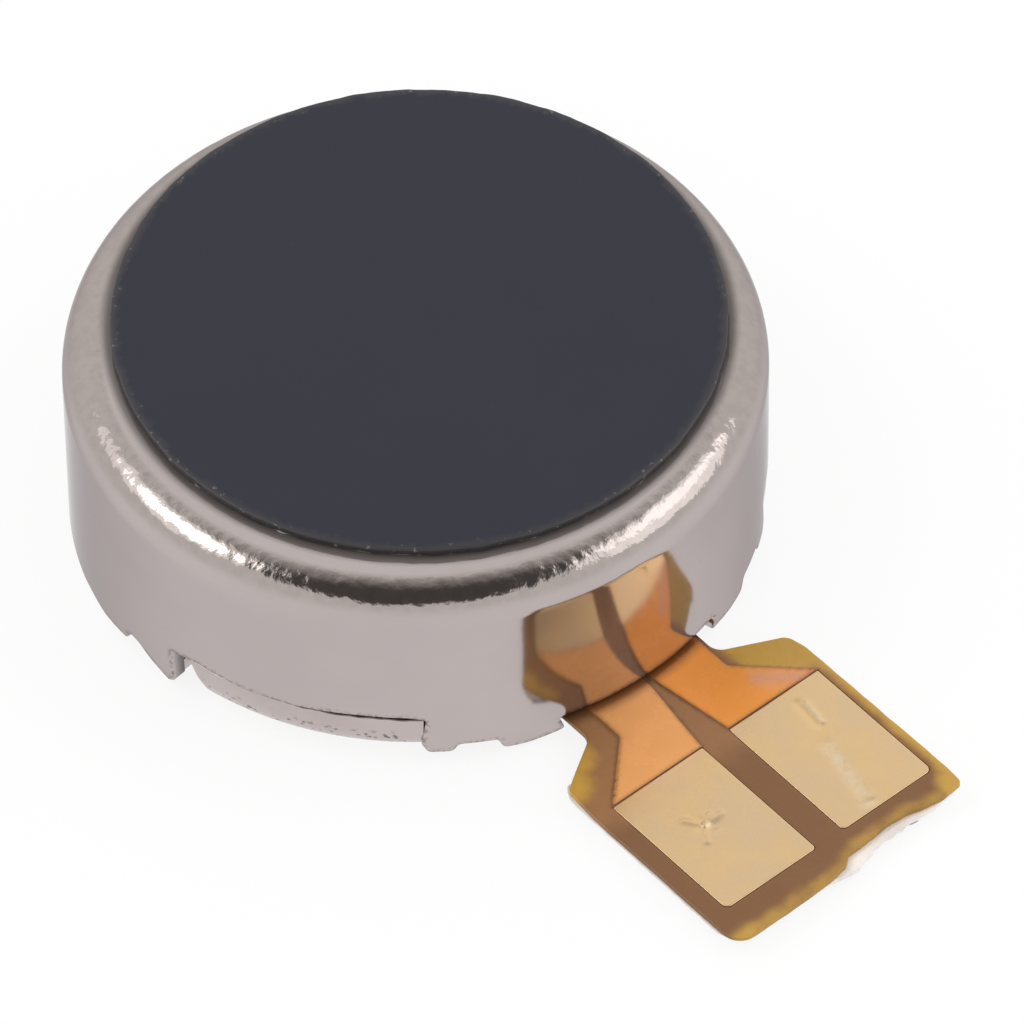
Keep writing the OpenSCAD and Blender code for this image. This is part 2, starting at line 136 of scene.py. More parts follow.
def around(radius: np.ndarray, angle: np.ndarray, height: np.ndarray) -> np.ndarray:
    """Points in space from radius, angle in radians and height."""
    return np.column_stack([radius * np.cos(angle), radius * np.sin(angle), height])


def from_tail(points: np.ndarray) -> np.ndarray:
    """Angle of each point from the tail's direction, either way, in degrees."""
    return np.abs(np.degrees(np.arctan2(points[:, 1], points[:, 0])))


def circle(centre: Sequence[float], radius: float, step: float) -> np.ndarray:
    """A whole circle, anticlockwise, with no doubled point."""
    return arc(centre, radius, 0, 360, step)[:-1]


def arc_between(centre: np.ndarray, start: np.ndarray, end: np.ndarray, step: float,
                clockwise: bool = False) -> np.ndarray:
    """Points along the arc round a centre from one point to another.

    Args:
        centre: Centre of the arc.
        start: Where it begins.
        end: Where it ends.
        step: Longest distance between neighbours.
        clockwise: Whether it runs clockwise.

    Returns:
        The points, one row each.
    """
    first, last = (math.degrees(math.atan2(*(p - centre)[::-1])) for p in (start, end))
    turn = (last - first) % 360 - (360 if clockwise else 0)
    return arc(centre, float(np.linalg.norm(start - centre)), first, first + turn, step)


def chained(*runs: np.ndarray) -> np.ndarray:
    """One closed run from several, without the points that repeat their neighbour."""
    points = np.concatenate(runs)
    return points[np.linalg.norm(points - np.roll(points, 1, axis=0), axis=1) > 1e-5]


def divided(points: np.ndarray, step: float, closed: bool = True) -> np.ndarray:
    """The same run of points with its long stretches divided.

    Args:
        points: The run, one row for each point.
        step: Longest distance between neighbours in the result.
        closed: Whether the last point joins the first.

    Returns:
        The divided run.
    """
    ends = np.roll(points, -1, axis=0)
    rows = []
    for index in range(len(points) - (0 if closed else 1)):
        count = max(1, math.ceil(np.linalg.norm(ends[index] - points[index]) / step))
        share = np.arange(count)[:, None] / count
        rows.append(points[index] + share * (ends[index] - points[index]))
    if not closed:
        rows.append(points[-1:])
    return np.concatenate(rows)


def rounded(corners: Sequence[Sequence[float]], step: float, closed: bool = True) -> np.ndarray:
    """An outline through corners, each rounded by its own radius.

    Args:
        corners: Corners as x, y and radius, in order.
        step: Longest distance between neighbouring points.
        closed: Whether the last corner joins the first.

    Returns:
        The points of the outline.
    """
    count, rows = len(corners), []
    for index, (x, y, radius) in enumerate(corners):
        here = np.array([x, y])
        if radius == 0 or (not closed and index in (0, count - 1)):
            rows.append(here[None])
            continue
        before = np.array(corners[index - 1][:2]) - here
        after = np.array(corners[(index + 1) % count][:2]) - here
        before, after = before / np.linalg.norm(before), after / np.linalg.norm(after)
        half = math.acos(float(np.clip(before @ after, -1, 1))) / 2
        if half > math.radians(89):
            rows.append(here[None])
            continue
        middle = before + after
        centre = here + middle / np.linalg.norm(middle) * radius / math.sin(half)
        first = here + before * radius / math.tan(half) - centre
        last = here + after * radius / math.tan(half) - centre
        start = math.atan2(first[1], first[0])
        turn = math.atan2(first[0] * last[1] - first[1] * last[0], float(first @ last))
        pieces = max(3, math.ceil(abs(turn) * radius / step))
        angles = start + turn * np.arange(pieces + 1) / pieces
        rows.append(centre + radius * np.stack([np.cos(angles), np.sin(angles)], 1))
    return divided(np.concatenate(rows), step, closed)


def enclosed(points: np.ndarray, loops: Sequence[np.ndarray]) -> np.ndarray:
    """Whether each point is enclosed by an odd number of the loops.

    Args:
        points: Plan points.
        loops: Closed runs of points.

    Returns:
        True or false for each point.
    """
    odd = np.zeros(len(points), bool)
    for loop in loops:
        ax, ay = loop[:, 0], loop[:, 1]
        bx, by = np.roll(ax, -1), np.roll(ay, -1)
        rise = np.where(by == ay, 1e-12, by - ay)
        for start in range(0, len(points), 2000):
            x = points[start:start + 2000, 0, None]
            y = points[start:start + 2000, 1, None]
            crossed = ((ay > y) != (by > y)) & (x < ax + (y - ay) / rise * (bx - ax))
            odd[start:start + 2000] ^= crossed.sum(1) % 2 == 1
    return odd


def nearest(points: np.ndarray, targets: np.ndarray) -> np.ndarray:
    """Distance from each point to the nearest target.

    Args:
        points: Points, one row each.
        targets: What the distance is measured to.

    Returns:
        One distance for each point.
    """
    tree = KDTree(len(targets))
    for index, target in enumerate(targets):
        tree.insert((*target, 0.0)[:3], index)
    tree.balance()
    return np.array([tree.find((*point, 0.0)[:3])[2] for point in points])


@dataclass(frozen=True)
class Relief:
    """Smooth seeded noise on points in millimetres.

    Attributes:
        seed: Moves the pattern.
        size: Rough width of its largest humps.
        octaves: Number of finer layers.
    """

    seed: int
    size: float
    octaves: int = 3

    def at(self, points: np.ndarray) -> np.ndarray:
        """Noise from about -1 to 1 at each point.

        Args:
            points: Points in millimetres, on a plane or in space.

        Returns:
            One value for each point.
        """
        shift = Vector((self.seed * 17.31, self.seed * 5.17, self.seed * 9.73))
        wide = np.zeros((len(points), 3))
        wide[:, :points.shape[1]] = points / self.size
        return np.array([noise.fractal(Vector(p) + shift, 1.0, 2.0, self.octaves) for p in wide])


# ---- Meshes ----


class MeshData:
    """Points and faces of one piece, gathered before they become a mesh."""

    def __init__(self) -> None:
        """Starts with nothing."""
        self.points: list[np.ndarray] = []
        self.plans: list[np.ndarray] = []
        self.faces: list[tuple[int, ...]] = []
        self.slots: list[int] = []
        self.count = 0

    def add(self, points: np.ndarray, faces: np.ndarray, plan: np.ndarray | None = None,
            slots: np.ndarray | int = 0) -> None:
        """Adds points and the faces between them.

        Args:
            points: Points in millimetres.
            faces: Rows of indices into those points.
            plan: Two values carried along with each point, for painting.
            slots: Material slot of the faces, one for all or one each.
        """
        self.points.append(points)
        self.plans.append(np.zeros((len(points), 2)) if plan is None else plan)
        self.faces.extend(tuple(int(i) + self.count for i in face) for face in faces)
        self.slots.extend(np.broadcast_to(slots, len(faces)).tolist())
        self.count += len(points)

    def plan(self) -> np.ndarray:
        """The two carried values of every point."""
        return np.concatenate(self.plans)

    def place(self) -> np.ndarray:
        """Every point, in millimetres."""
        return np.concatenate(self.points)

    def object(self, name: str, finishes: Sequence[bpy.types.Material],
               marks: dict[str, np.ndarray] | None = None) -> bpy.types.Object:
        """Makes the Blender object.

        Args:
            name: Name of the piece.
            finishes: Materials, in the order of the faces' slots.
            marks: Named values for every point, which the materials read.

        Returns:
            The object, with doubled points merged and its faces smooth up to an angle.
        """
        mesh = bpy.data.meshes.new(name)
        mesh.from_pydata((self.place() * MM).tolist(), [], self.faces)
        mesh.polygons.foreach_set("material_index", self.slots)
        for key, values in (marks or {}).items():
            layer = mesh.attributes.new(key, "FLOAT", "POINT")
            layer.data.foreach_set("value", np.asarray(values, np.float32))
        work = bmesh.new()
        work.from_mesh(mesh)
        bmesh.ops.remove_doubles(work, verts=work.verts, dist=MERGE)
        bmesh.ops.dissolve_degenerate(work, dist=MERGE, edges=work.edges)
        work.to_mesh(mesh)
        work.free()
        return finished(name, mesh, finishes)


def finished(name: str, mesh: bpy.types.Mesh, finishes: Sequence[bpy.types.Material]) -> bpy.types.Object:
    """An object at the origin for a mesh, with its materials and smooth faces.

    Args:
        name: Name of the result.
        mesh: The mesh.
        finishes: Materials, in the order of the slots.

    Returns:
        The object.
    """
    for finish in finishes:
        mesh.materials.append(finish)
    mesh.shade_smooth()
    mesh.set_sharp_from_angle(angle=SMOOTH_ANGLE)
    mesh.name = name
    return placed(name, mesh)


def placed(name: str, data: bpy.types.ID) -> bpy.types.Object:
    """A new object in the scene for a mesh, a lamp or a camera.

    Args:
        name: Name of the object.
        data: The mesh, lamp or camera.

    Returns:
        The object.
    """
    made = bpy.data.objects.new(name, data)
    bpy.context.scene.collection.objects.link(made)
    return made


def flat(plan: np.ndarray, level: np.ndarray) -> np.ndarray:
    """Places a plan level by level, with no bending."""
    return np.column_stack([plan, level])


def grid_faces(rows: int, columns: int, closed: bool, flip: bool = False) -> np.ndarray:
    """Quads of a grid of points stored row by row.

    Args:
        rows: Number of rows.
        columns: Number of points in a row.
        closed: Whether the last column joins the first.
        flip: Whether the faces point the other way.

    Returns:
        Four indices for each quad.
    """
    row, column = np.meshgrid(np.arange(rows - 1), np.arange(columns if closed else columns - 1),
                              indexing="ij")
    after = (column + 1) % columns
    quads = [row * columns + column, row * columns + after, (row + 1) * columns + after,
             (row + 1) * columns + column]
    faces = np.stack([q.ravel() for q in quads], 1)
    return faces[:, ::-1] if flip else faces


@dataclass
class Loop:
    """A closed run of plan points with the material on its left.

    Attributes:
        points: The points.
        free: Which points lie on a real edge; all of them when None.
    """

    points: np.ndarray
    free: np.ndarray | None = None

    def __post_init__(self) -> None:
        """Takes every point as free where nothing else is said."""
        if self.free is None:
            self.free = np.ones(len(self.points), bool)

    def inset(self, distance: float) -> np.ndarray:
        """The points moved into the material, where they are free.

        Args:
            distance: How far they move.

        Returns:
            The moved points.
        """
        ahead = np.roll(self.points, -1, axis=0) - self.points
        ahead /= np.linalg.norm(ahead, axis=1)[:, None] + 1e-12
        back = np.roll(ahead, 1, axis=0)
        tangent = back * (self.free & np.roll(self.free, 1))[:, None]
        tangent = tangent + ahead * (self.free & np.roll(self.free, -1))[:, None]
        length = np.linalg.norm(tangent, axis=1)[:, None]
        normal = np.stack([-tangent[:, 1], tangent[:, 0]], 1) / np.where(length > 1e-6, length, 1)
        return self.points + normal * distance * self.free[:, None]


def hole(points: np.ndarray) -> Loop:
    """A loop round an opening, from anticlockwise points."""
    return Loop(points[::-1].copy())


@dataclass
class Pocket:
    """A blind opening in a slab's top face.

    Attributes:
        loops: Its edge and the edges of the posts that stand in it.
        floor: Level of its floor.
    """

    loops: list[Loop]
    floor: float


@dataclass
class Slab:
    """A closed slab cut to an outline, with rounded edges.

    Attributes:
        outer: The outline.
        low: Level of the bottom face.
        high: Level of the top face.
        edge: Radius of the rounded edges.
        step: Spacing of the points inside its faces.
        holes: Openings that go right through.
        pockets: Openings that don't.
        creases: Lines that the top face has an edge along.
        top: Extra height of the top face over the plan.
        place: Turns plan points and levels into points in space.
        spans: Number of rows along the straight part of its sides.
        slot: Material slot of each top face, from the middle of the face.
        side_slot: Material slot of the other faces.
    """

    outer: Loop
    low: float
    high: float
    edge: float
    step: float
    holes: list[Loop] = field(default_factory=list)
    pockets: list[Pocket] = field(default_factory=list)
    creases: list[np.ndarray] = field(default_factory=list)
    top: Plan | None = None
    place: Place = flat
    spans: int = 1
    slot: Plan | None = None
    side_slot: int = 0

    ARC_STEPS = 3

    def build(self, data: MeshData | None = None) -> MeshData:
        """Builds the slab.

        Args:
            data: What the slab is added to; a new one when None.

        Returns:
            The gathered mesh.
        """
        data = MeshData() if data is None else data
        through = [self.outer, *self.holes]
        for loop in through:
            self._side(data, loop, self.low, True)
        for pocket in self.pockets:
            for loop in pocket.loops:
                self._side(data, loop, pocket.floor, False)
            self._face(data, pocket.loops, [], lambda p, f=pocket.floor: np.full(len(p), f), 0.0, False)
        blind = [loop for pocket in self.pockets for loop in pocket.loops]
        self._face(data, through + blind, self.creases, self._top_level, self.edge, False)
        self._face(data, through, [], lambda p: np.full(len(p), self.low), self.edge, True)
        return data

    def _top_level(self, plan: np.ndarray) -> np.ndarray:
        """Level of the top face over the plan."""
        return self.high + (0 if self.top is None else self.top(plan)) + np.zeros(len(plan))

    def _side(self, data: MeshData, loop: Loop, low: float, round_low: bool) -> None:
        """Adds the side along one loop, with its rounded edges.

        Args:
            data: What the shape is added to.
            loop: The loop.
            low: Level of its lower end.
            round_low: Whether that end has a rounded edge.
        """
        turns = np.linspace(0, math.pi / 2, self.ARC_STEPS + 1)
        rows = []
        if round_low:
            for turn in turns[::-1]:
                plan = loop.inset(self.edge * (1 - math.cos(turn)))
                rows.append((plan, np.full(len(plan), low + self.edge * (1 - math.sin(turn)))))
        else:
            rows.append((loop.points, np.full(len(loop.points), low)))
        start = rows[-1][1]
        end = self._top_level(loop.points) - self.edge
        for index in range(1, self.spans):
            rows.append((loop.points, start + (end - start) * index / self.spans))
        for turn in turns:
            plan = loop.inset(self.edge * (1 - math.cos(turn)))
            rows.append((plan, self._top_level(plan) - self.edge * (1 - math.sin(turn))))
        count = len(loop.points)
        faces = grid_faces(len(rows), count, True)
        real = loop.free & np.roll(loop.free, -1)
        faces = faces[real[faces[:, 0] % count]]
        plan = np.concatenate([row[0] for row in rows])
        level = np.concatenate([row[1] for row in rows])
        data.add(self.place(plan, level), faces, plan, self.side_slot)

    def _face(self, data: MeshData, loops: Sequence[Loop], creases: Sequence[np.ndarray],
              level: Plan, inset: float, flip: bool) -> None:
        """Adds one face between loops, filled with evenly spaced points.

        Args:
            data: What the shape is added to.
            loops: Edges of the face, the outline first.
            creases: Lines that the face has an edge along.
            level: Level of the face over the plan.
            inset: How far the edges are moved in.
            flip: Whether the face looks down.
        """
        edges = [loop.inset(inset) for loop in loops]
        border = np.concatenate([*edges, *creases])
        low, high = edges[0].min(0), edges[0].max(0)
        across, along = np.meshgrid(np.arange(low[0], high[0], self.step),
                                    np.arange(low[1], high[1], self.step * 0.87), indexing="ij")
        across = across + (np.arange(along.shape[1]) % 2) * self.step / 2
        inner = np.stack([across.ravel(), along.ravel()], 1)
        inner = inner[enclosed(inner, edges)]
        if len(inner):
            inner = inner[nearest(inner, border) > 0.6 * self.step]
        joined, start = [], 0
        for run in edges:
            joined += [(start + i, start + (i + 1) % len(run)) for i in range(len(run))]
            start += len(run)
        for run in creases:
            joined += [(start + i, start + i + 1) for i in range(len(run) - 1)]
            start += len(run)
        spots = [Vector(p) for p in np.concatenate([border, inner])]
        made, _, triangles, *_ = delaunay_2d_cdt(spots, joined, [], 0, 1e-6)
        plan = np.array([tuple(p) for p in made])
        faces = np.array(triangles)
        middles = plan[faces].mean(1)
        kept = enclosed(middles, edges)
        faces, middles = faces[kept], middles[kept]
        slots: np.ndarray | int = self.side_slot
        if self.slot is not None and not flip:
            slots = self.slot(middles)
        if flip:
            faces = faces[:, ::-1]
        data.add(self.place(plan, level(plan)), faces, plan, slots)


@dataclass
class Turned:
    """A turned shape: a run of radius and height points swept round the axis.

    Attributes:
        section: Radius and height of each point, from the outside at the bottom over the top.
        columns: Number of steps round the axis.
        centre: Place of the axis.
        closed: Whether the last point joins the first, as in a ring.
        swell: Extra radius and height over the whole surface, from points in space.
        flip: Whether the faces point towards the axis.
    """

    section: np.ndarray
    columns: int
    centre: Sequence[float] = (0.0, 0.0)
    closed: bool = False
    swell: Plan | None = None
    flip: bool = False

    def build(self, data: MeshData | None = None) -> MeshData:
        """Builds the shape, with its poles closed by fans.

        Args:
            data: What the shape is added to; a new one when None.

        Returns:
            The gathered mesh.
        """
        data = MeshData() if data is None else data
        section = np.concatenate([self.section, self.section[:1]]) if self.closed else self.section
        angles = -math.pi + 2 * math.pi * np.arange(self.columns) / self.columns
        radius = np.repeat(section[:, 0], self.columns)
        height = np.repeat(section[:, 1], self.columns)
        angle = np.tile(angles, len(section))
        ahead = np.gradient(section, axis=0)
        outward = np.stack([ahead[:, 1], -ahead[:, 0]], 1)
        outward /= np.linalg.norm(outward, axis=1)[:, None] + 1e-12
        points = around(radius, angle, height)
        if self.swell is not None:
            grown = self.swell(points)
            radius = radius + grown * np.repeat(outward[:, 0], self.columns)
            height = height + grown * np.repeat(outward[:, 1], self.columns)
            points = around(radius, angle, height)
        points[:, 0] += self.centre[0]
        points[:, 1] += self.centre[1]
        along = np.repeat(np.arange(len(section)), self.columns)
        plan = np.column_stack([angle, along])
        data.add(points, grid_faces(len(section), self.columns, True, self.flip), plan)
        return data


def turned_ring(outer: float, inner: float, low: float, high: float, chamfer: float) -> np.ndarray:
    """Section of a ring with rounded corners, for a closed turned shape."""
    corners = [(outer, low, chamfer), (outer, high, chamfer), (inner, high, chamfer), (inner, low, chamfer)]
    return rounded(corners, max(0.05, (outer - inner) / 6))


# ---- Materials ----


Socket = bpy.types.NodeSocket


class NodeTree:
    """A node tree while it is put together."""

    def __init__(self, tree: bpy.types.NodeTree) -> None:
        """Starts with no nodes."""
        self.tree = tree
        tree.nodes.clear()

    def link(self, source: Socket, target: Socket) -> None:
        """Joins two sockets."""
        self.tree.links.new(source, target)

    def feed(self, socket: Socket, value: object) -> None:
        """Links a socket or sets its value, whichever is given.

        Args:
            socket: The socket.
            value: Another socket or a value.
        """
        if isinstance(value, bpy.types.NodeSocket):
            self.link(value, socket)
        elif isinstance(value, tuple) and len(value) == 3 and socket.type == "RGBA":
            socket.default_value = (*value, 1.0)
        else:
            socket.default_value = value

    def add(self, kind: str, inputs: dict[str | int, object] | None = None,
            **settings: object) -> bpy.types.Node:
        """Adds a node.

        Args:
            kind: Blender's name of the node.
            inputs: What goes into its sockets, by name or number: another socket or a value.
            settings: Values of its properties.

        Returns:
            The node.
        """
        node = self.tree.nodes.new(kind)
        for key, value in settings.items():
            setattr(node, key, value)
        for key, value in (inputs or {}).items():
            self.feed(node.inputs[key], value)
        return node

    def maths(self, operation: str, *values: object) -> Socket:
        """One arithmetic step."""
        return self.add("ShaderNodeMath", dict(enumerate(values)), operation=operation).outputs[0]

    def times(self, first: object, second: object) -> Socket:
        """The product of two values."""
        return self.maths("MULTIPLY", first, second)


class Graph(NodeTree):
    """A material's node tree while it is put together."""

    def __init__(self, name: str) -> None:
        """Starts a material with one principled shader.

        Args:
            name: Name of the material.
        """
        self.material = bpy.data.materials.new(name)
        self.material.use_nodes = True
        super().__init__(self.material.node_tree)
        self.shader = self.add("ShaderNodeBsdfPrincipled")
        self.output = self.add("ShaderNodeOutputMaterial", {0: self.shader.outputs[0]})
        self.where = self.add("ShaderNodeTexCoord").outputs["Object"]

    def stretched(self, scale: tuple[float, float, float]) -> Socket:
        """Object coordinates stretched along each axis."""
        return self.add("ShaderNodeMapping", {"Vector": self.where, "Scale": scale}).outputs[0]

    def noise(self, size: float, detail: float = 3.0, where: Socket | None = None) -> Socket:
        """Noise from 0 to 1 whose humps are about size millimetres wide.

        Args:
            size: Width of its largest humps in millimetres.
            detail: Number of finer layers.
            where: Coordinates that it reads; the object's own when None.

        Returns:
            Its value.
        """
        where = self.where if where is None else where
        inputs = {"Vector": where, "Scale": 1 / (size * MM), "Detail": detail}
        return self.add("ShaderNodeTexNoise", inputs).outputs[0]

    def cells(self, size: float) -> Socket:
        """Distance inside cells about size millimetres wide."""
        return self.add("ShaderNodeTexVoronoi", {"Vector": self.where, "Scale": 1 / (size * MM)}).outputs[0]

    def mark(self, name: str) -> Socket:
        """A value that the mesh carries on its points."""
        return self.add("ShaderNodeAttribute", attribute_name=name).outputs["Fac"]

    def height(self) -> Socket:
        """Height over the object's origin in millimetres."""
        return self.maths("DIVIDE", self.add("ShaderNodeSeparateXYZ", {0: self.where}).outputs["Z"], MM)

    def span(self, value: Socket, low: float, high: float, to_low: float = 0.0,
             to_high: float = 1.0) -> Socket:
        """A value spread smoothly from one range to another and held inside it."""
        inputs = {"Value": value, "From Min": low, "From Max": high, "To Min": to_low, "To Max": to_high}
        return self.add("ShaderNodeMapRange", inputs, interpolation_type="SMOOTHSTEP").outputs[0]

    def mix(self, share: object, first: object, second: object) -> Socket:
        """A colour between two others."""
        return self.add("ShaderNodeMix", {"Factor": share, 6: first, 7: second}, data_type="RGBA").outputs[2]

    def mottled(self, share: Socket, colour: Colour, spread: float) -> Socket:
        """A colour that varies either way by a share of itself."""
        return self.mix(share, lighter(colour, 1 - spread), lighter(colour, 1 + spread))

    def bump(self, height: Socket, depth: float) -> None:
        """Bumps the surface, depth in millimetres; a second call adds to the first.

        Args:
            height: Height of the surface.
            depth: Depth in millimetres.
        """
        node = self.add("ShaderNodeBump", {"Height": height, "Distance": depth * MM, "Strength": 1.0})
        normal = self.shader.inputs["Normal"]
        if normal.is_linked:
            self.link(normal.links[0].from_socket, node.inputs["Normal"])
        self.link(node.outputs[0], normal)

    def set(self, **values: object) -> None:
        """Sets or links the shader's sockets, named with underscores for spaces."""
        for key, value in values.items():
            self.feed(self.shader.inputs[key.replace("_", " ")], value)


def lighter(colour: Colour, factor: float) -> Colour:
    """A colour with each value multiplied, up to 1."""
    return tuple(min(1.0, value * factor) for value in colour)


@dataclass(frozen=True)
class Metal:
    """A bare or plated metal.

    Attributes:
        name: Name of the material.
        colour: Its colour.
        roughness: Middle roughness.
        grain: How it is worked.
        grain_size: Width of the grain in millimetres.
        grain_depth: Depth of the grain in millimetres.
        mottle: Share by which the colour varies.
    """

    name: str
    colour: Colour
    roughness: float
    grain: Grain = Grain.SATIN
    grain_size: float = 0.05
    grain_depth: float = 0.0004
    mottle: float = 0.06

    def build(self) -> bpy.types.Material:
        """Makes the material.

        Returns:
            The material.
        """
        graph = Graph(self.name)
        clouds = graph.noise(0.9, 4)
        if self.grain is Grain.DRAWN:
            fine = graph.noise(self.grain_size, 3, graph.stretched((1, 1, 0.12)))
        elif self.grain is Grain.SINTERED:
            fine = graph.maths("ADD", graph.cells(self.grain_size), graph.noise(self.grain_size * 2))
        else:
            fine = graph.noise(self.grain_size, 4)
        tone = graph.maths("ADD", graph.span(clouds, 0.3, 0.7, 0, 0.6), graph.span(fine, 0.3, 0.8, 0, 0.4))
        colour = graph.mottled(tone, self.colour, self.mottle)
        graph.set(Base_Color=colour, Metallic=1.0)
        graph.set(Roughness=graph.span(fine, 0.25, 0.75, self.roughness * 0.8, self.roughness * 1.2))
        graph.bump(fine, self.grain_depth)
        return graph.material


@dataclass(frozen=True)
class Plastic:
    """A moulded plastic, resin, glue or board.

    Attributes:
        name: Name of the material.
        colour: Its colour.
        roughness: Middle roughness.
        grain_size: Width of the grain in millimetres.
        grain_depth: Depth of the grain in millimetres.
        mottle: Share by which the colour varies.
        clear: Share of light that passes through.
        coat: Share of a glossy coat.
    """

    name: str
    colour: Colour
    roughness: float
    grain_size: float = 0.06
    grain_depth: float = 0.0006
    mottle: float = 0.08
    clear: float = 0.0
    coat: float = 0.0

    def build(self) -> bpy.types.Material:
        """Makes the material.

        Returns:
            The material.
        """
        graph = Graph(self.name)
        fine = graph.noise(self.grain_size, 4)
        tone = graph.span(graph.noise(0.5, 4), 0.3, 0.7)
        colour = graph.mottled(tone, self.colour, self.mottle)
        graph.set(Base_Color=colour, Transmission_Weight=self.clear, Coat_Weight=self.coat)
        graph.set(Roughness=graph.span(fine, 0.25, 0.75, self.roughness * 0.85, self.roughness * 1.15))
        graph.bump(fine, self.grain_depth)
        return graph.material


@dataclass(frozen=True)
class NickelPlate:
    """Satin nickel plate on the drawn case, polished and pitted where its mark says so, with painted shade on
    the polished part.

    Attributes:
        colour: Colour of the satin wall.
        bright: Colour of the polished shoulder, darker than the wall as painted shade for its darker
            reflections.
        speck: Colour of the small dark specks.
        shadow: Colour in the groove beside the black pad and on cut edges.
        grazing: Tint of reflections at grazing angles.
        roughness: Roughness of the satin wall.
        polished: Roughness of the shoulder.
        lean: How far the wall over the slot leans in each millimetre of height.
        upright: Height where that wall is upright again and the height over which it turns upright.
    """

    colour: Colour = srgb(185, 175, 173)
    bright: Colour = srgb(174, 164, 160)
    speck: Colour = srgb(120, 110, 106)
    shadow: Colour = srgb(62, 54, 50)
    grazing: Colour = (0.62, 0.60, 0.61)
    roughness: float = 0.11
    polished: float = 0.10
    lean: float = 0.087
    upright: tuple[float, float] = (2.3, 1.2)

    def build(self) -> bpy.types.Material:
        """Makes the material.

        Returns:
            The material.
        """
        graph = Graph("nickel_plate")
        polish = graph.mark("polish")
        wear = graph.mark("wear")
        clouds = graph.span(graph.noise(1.6, 3), 0.3, 0.7)
        base = graph.mottled(clouds, self.colour, 0.025)
        cloudy = graph.span(graph.noise(0.16, 3), 0.35, 0.65)
        # Painted shade: the polished shoulder takes a darker colour than the satin wall.
        bright = graph.mix(cloudy, lighter(self.bright, 0.93), self.bright)
        base = graph.mix(polish, base, bright)
        specks = graph.span(graph.cells(0.42), 0.0, 0.055, 1.0, 0.0)
        specks = graph.times(specks, graph.span(graph.noise(1.1, 2), 0.5, 0.62))
        specks = graph.times(specks, 0.4)
        base = graph.mix(specks, base, self.speck)
        scuff = graph.times(wear, graph.span(graph.noise(0.07, 3), 0.42, 0.62))
        base = graph.mix(graph.times(scuff, 0.8), base, self.speck)
        base = graph.mix(graph.mark("shade"), base, self.shadow)
        graph.set(Base_Color=base, Metallic=graph.maths("SUBTRACT", 1.0, graph.mark("shade")))
        graph.set(Specular_Tint=self.grazing)
        fine = graph.noise(0.035, 3)
        rough = graph.span(fine, 0.3, 0.7, self.roughness * 0.9, self.roughness * 1.15)
        rough = graph.maths("ADD", rough, graph.times(polish, self.polished - self.roughness))
        graph.set(Roughness=rough)
        top, ease = self.upright
        drop = graph.maths("SUBTRACT", top, graph.maths("SMOOTH_MIN", graph.height(), top, ease))
        graph.bump(graph.times(drop, graph.mark("over_slot")), self.lean)
        graph.bump(graph.times(graph.noise(0.20, 3), polish), 0.011)
        graph.bump(fine, 0.00012)
        return graph.material


@dataclass(frozen=True)
class Film:
    """Amber film, over copper or bare, with a yellow fringe where light gets in at its edge.

    Attributes:
        name: Name of the material.
        colour: Colour away from the edges.
        shade: Colour where the mark named tint is 1.
        fringe: Colour where the mark named fringe is 1.
        line: Colour where the mark named line is 1: painted shade along a buried edge and painted shadow
            under the case's slot edge.
        roughness: Roughness of the film's face.
        metallic: Share of the copper's own shine that comes through.
        stain: Colour where the mark named stain is 1.
    """

    name: str
    colour: Colour
    shade: Colour
    fringe: Colour
    line: Colour
    roughness: float = 0.26
    metallic: float = 0.0
    stain: Colour = srgb(216, 152, 122)

    def build(self) -> bpy.types.Material:
        """Makes the material.

        Returns:
            The material.
        """
        graph = Graph(self.name)
        clouds = graph.maths("ADD", graph.mark("tint"), graph.span(graph.noise(0.9, 3), 0.3, 0.7, -0.2, 0.2))
        base = graph.mix(graph.span(clouds, 0, 1), self.colour, self.shade)
        wander = graph.span(graph.noise(0.30, 4), 0.2, 0.8, -0.12, 0.12)
        ragged = graph.maths("ADD", graph.mark("fringe"), wander)
        base = graph.mix(graph.span(ragged, 0.12, 0.92), base, self.fringe)
        base = graph.mix(graph.mark("stain"), base, self.stain)
        # Painted shade and shadow: the line colour darkens buried trace edges and the film at the case's slot
        # edge.
        base = graph.mix(graph.mark("line"), base, self.line)
        graph.set(Base_Color=base, Metallic=self.metallic, Specular_IOR_Level=0.5)
        fine = graph.noise(0.4, 2)
        graph.set(Roughness=graph.span(fine, 0.3, 0.7, self.roughness * 0.85, self.roughness * 1.2))
        graph.bump(graph.noise(0.35, 2), 0.0012)
        return graph.material


@dataclass(frozen=True)
class GoldPlate:
    """Satin gold plate of the contact pads, scuffed where its mark says so; that mark also carries a painted
    highlight.

    Attributes:
        colour: Its colour.
        warm: Colour of its warmer clouds.
        scuff: Colour where it is scuffed, also used for the painted highlight.
        roughness: Middle roughness.
    """

    colour: Colour = srgb(221, 191, 151)
    warm: Colour = srgb(227, 193, 143)
    scuff: Colour = srgb(238, 220, 194)
    roughness: float = 0.22

    def build(self) -> bpy.types.Material:
        """Makes the material.

        Returns:
            The material.
        """
        graph = Graph("gold_plate")
        clouds = graph.span(graph.noise(0.8, 3), 0.35, 0.7)
        base = graph.mix(clouds, self.colour, self.warm)
        # The scuff mark includes a painted highlight along the far pad's crease.
        scuffed = graph.times(graph.mark("scuff"), graph.span(graph.noise(0.12, 4), 0.3, 0.6))
        base = graph.mix(graph.times(scuffed, 0.7), base, self.scuff)
        fine = graph.noise(0.03, 4)
        graph.set(Base_Color=base, Metallic=1.0)
        rough = graph.span(fine, 0.3, 0.7, self.roughness * 0.85, self.roughness * 1.2)
        graph.set(Roughness=graph.maths("ADD", rough, graph.times(scuffed, 0.15)))
        graph.bump(fine, 0.0004)
        graph.bump(graph.noise(0.35, 2), 0.0012)
        return graph.material


